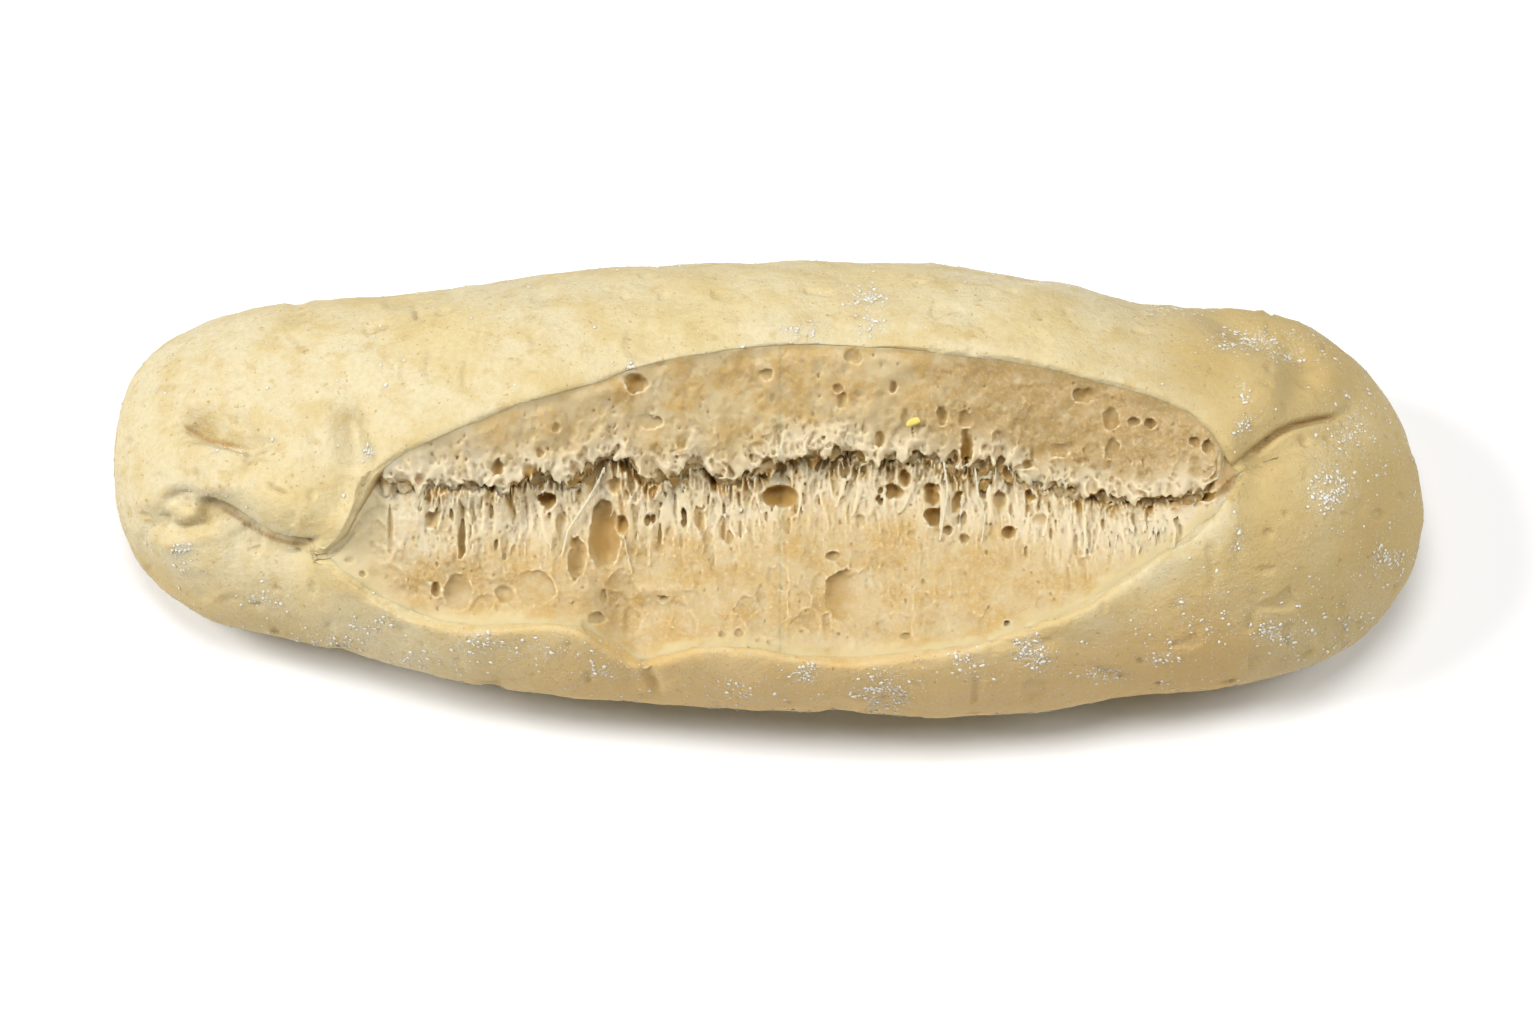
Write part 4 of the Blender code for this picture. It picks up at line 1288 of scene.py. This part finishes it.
def scatterGrains(name, crust, material, kind):
    print("Flour:", name)
    mesh = crust.data
    mesh.calc_loop_triangles()
    count = len(mesh.loop_triangles)
    corners = np.empty(count * 3, np.int32)
    mesh.loop_triangles.foreach_get("vertices", corners)
    corners = corners.reshape(-1, 3)
    places, normals = readPoints(mesh), readPoints(mesh, "normal")
    flour = np.empty(len(mesh.vertices), np.float32)
    mesh.attributes["flour"].data.foreach_get("value", flour)
    a, b, c = (places[corners[:, k]] for k in range(3))
    area = np.linalg.norm(np.cross(b - a, c - a), axis=1) / 2
    middle = (a + b + c) / 3
    amount = flour[corners].mean(axis=1)
    clumps = layeredNoise(*(middle.T / mm / 1.3), 3)
    patchy = amount ** kind["sharpness"] * (0.1 + ease(0.5 + 2.2 * clumps) * 1.6)
    chance = area * (grains["stray"] / kind["sharpness"] + patchy)
    px, py, rise = seenAt(middle)
    onCrust = insideBurst(px, py) < grains["fromLip"]
    chance *= onCrust * (middle[:, 2] > grains["fromTable"] * mm)
    draw = np.random.default_rng(21)
    picks = draw.choice(count, kind["count"], p=chance / chance.sum())
    mixA, mixB = draw.uniform(size=(2, len(picks)))
    flip = mixA + mixB > 1
    mixA, mixB = np.where(flip, 1 - mixA, mixA), np.where(flip, 1 - mixB, mixB)
    spots = a[picks] + (b - a)[picks] * mixA[:, None] + (c - a)[picks] * mixB[:, None]
    outs = normals[corners[picks, 0]]

    bm = bmesh.new()
    bmesh.ops.create_uvsphere(bm, u_segments=kind["sides"][0], v_segments=kind["sides"][1], radius=1)
    bmesh.ops.triangulate(bm, faces=bm.faces)
    ball = np.array([v.co for v in bm.verts])
    faces = np.array([[v.index for v in f.verts] for f in bm.faces])
    bm.free()
    smallest, largest = kind["sizes"]
    size = smallest + (largest - smallest) * draw.uniform(size=len(picks)) ** 2
    along = np.cross(outs, draw.normal(size=outs.shape))
    along /= np.linalg.norm(along, axis=1)[:, None]
    across = np.cross(outs, along)
    length = draw.uniform(0.8, 1.7, len(picks))
    flat = draw.uniform(*grains["flatness"], len(picks))
    jag = draw.uniform(0.75, 1.2, (len(picks), len(ball)))[:, :, None]
    verts = (spots[:, None, :] + mm * size[:, None, None] * (
        along[:, None, :] * ball[None, :, 0:1] * length[:, None, None] * jag
        + across[:, None, :] * ball[None, :, 1:2] * jag
        + outs[:, None, :] * (ball[None, :, 2:3] * flat[:, None, None] + 0.3)))
    allFaces = (faces[None, :, :] + (np.arange(len(picks)) * len(ball))[:, None, None]).reshape(-1, 3)
    grainMesh = bpy.data.meshes.new(name)
    grainMesh.from_pydata(verts.reshape(-1, 3).tolist(), [], allFaces.tolist())
    print("  triangles", len(allFaces))
    return addPiece(name, grainMesh, material)


# Dry yellow crumb on the torn wall. Place in the picture, height over the wall in mm, half sizes in mm.
yellowCrumb = {"place": (913, 422), "lift": 0.5, "halfSizes": (1.15, 0.55, 0.3), "jag": 0.35, "turn": -0.35}


def addYellowCrumb():
    print("Yellow crumb")
    bm = bmesh.new()
    bmesh.ops.create_icosphere(bm, subdivisions=3, radius=1)
    ball = np.array([v.co for v in bm.verts])
    ball *= 1 + yellowCrumb["jag"] * layeredNoise(*(ball * 1.4 + 5).T, 3)[:, None]
    ball *= yellowCrumb["halfSizes"]
    ball[:, 2] += 0.25 * ball[:, 0] ** 2
    c, s = math.cos(yellowCrumb["turn"]), math.sin(yellowCrumb["turn"])
    x, y = ball[:, 0] * c - ball[:, 1] * s, ball[:, 0] * s + ball[:, 1] * c
    px, py = yellowCrumb["place"]
    here = np.array([float(px)]), np.array([float(py)])
    rise = (planeRise(wallPlane, *here) + wallHeight(*here))[0] + yellowCrumb["lift"]
    for vert, place in zip(bm.verts, placeAt(px + x * pixelsPerMm, py + y * pixelsPerMm, rise + ball[:, 2])):
        vert.co = place
    if bm.calc_volume(signed=True) < 0:
        bmesh.ops.reverse_faces(bm, faces=bm.faces)
    mesh = bpy.data.meshes.new("yellowCrumb")
    bm.to_mesh(mesh)
    bm.free()
    material = newMaterial("dryYellowCrumb", {"Base Color": fromHex("#d8c265"), "Roughness": 0.6, "IOR": 1.4,
                                              "Specular IOR Level": 0.35})[0]
    return addPiece("yellowCrumb", mesh, material)


# White table under three soft boxes, the strongest one on the left
light = {
    # place and power
    "boxes": {"left": ((-1.1, 0, 1.1), 21), "right": ((1.1, 0, 1.1), 10), "top": ((0, 0, 1.6), 15)},
    "boxSize": 0.7,
    "worldStrength": 0.11,
}


def setStage():
    print("Table and light")
    bm = bmesh.new()
    bmesh.ops.create_grid(bm, x_segments=1, y_segments=1, size=3)
    mesh = bpy.data.meshes.new("table")
    bm.to_mesh(mesh)
    bm.free()
    table = bpy.data.objects.new("table", mesh)
    scene.collection.objects.link(table)
    material = newMaterial("whitePaperTable", {"Base Color": (0.9, 0.9, 0.9, 1), "Roughness": 0.9})[0]
    mesh.materials.append(material)

    for name, (place, power) in light["boxes"].items():
        data = bpy.data.lights.new(name, "AREA")
        data.shape = "DISK"
        data.size = light["boxSize"]
        data.energy = power
        box = bpy.data.objects.new(name, data)
        scene.collection.objects.link(box)
        box.location = place
        box.rotation_euler = (target - box.location).to_track_quat("-Z", "Y").to_euler()

    world = bpy.data.worlds.new("whiteRoom")
    scene.world = world
    world.use_nodes = True
    backdrop = world.node_tree.nodes["Background"]
    backdrop.inputs["Color"].default_value = (1, 1, 1, 1)
    backdrop.inputs["Strength"].default_value = light["worldStrength"]
    scene.view_settings.view_transform = "Standard"


addCamera()
crust, skinTree = makeCrust(paintedMaterial("partBakedWheatCrust", crustPaint, addDust))
skinMap = mapRise(skinTree)
crumb = paintedMaterial("tornWheatCrumb", crumbPaint)
leftEnd, rightStart = seams["middle"] + seams["overlap"], seams["middle"] - seams["overlap"]
intoRight, intoLeft = (seams["middle"], 1), (seams["middle"], -1)
makeTornWall("tornWallLeft", crumb, leftTip + 30, leftEnd, [intoRight, seams["wallStart"]])
makeTornWall("tornWallRight", crumb, rightStart, rightTip + 2, [intoLeft, seams["wallEnd"]])
makeFloor("burstFloorLeft", crumb, leftTip + 2, leftEnd, [intoRight])
makeFloor("burstFloorRight", crumb, rightStart, rightTip + 2, [intoLeft])
flour = paintedMaterial("wheatFlour", flourPaint)
scatterGrains("flourGrains", crust, flour, grains["single"])
scatterGrains("flourClumps", crust, flour, grains["clumps"])
addYellowCrumb()
setStage()
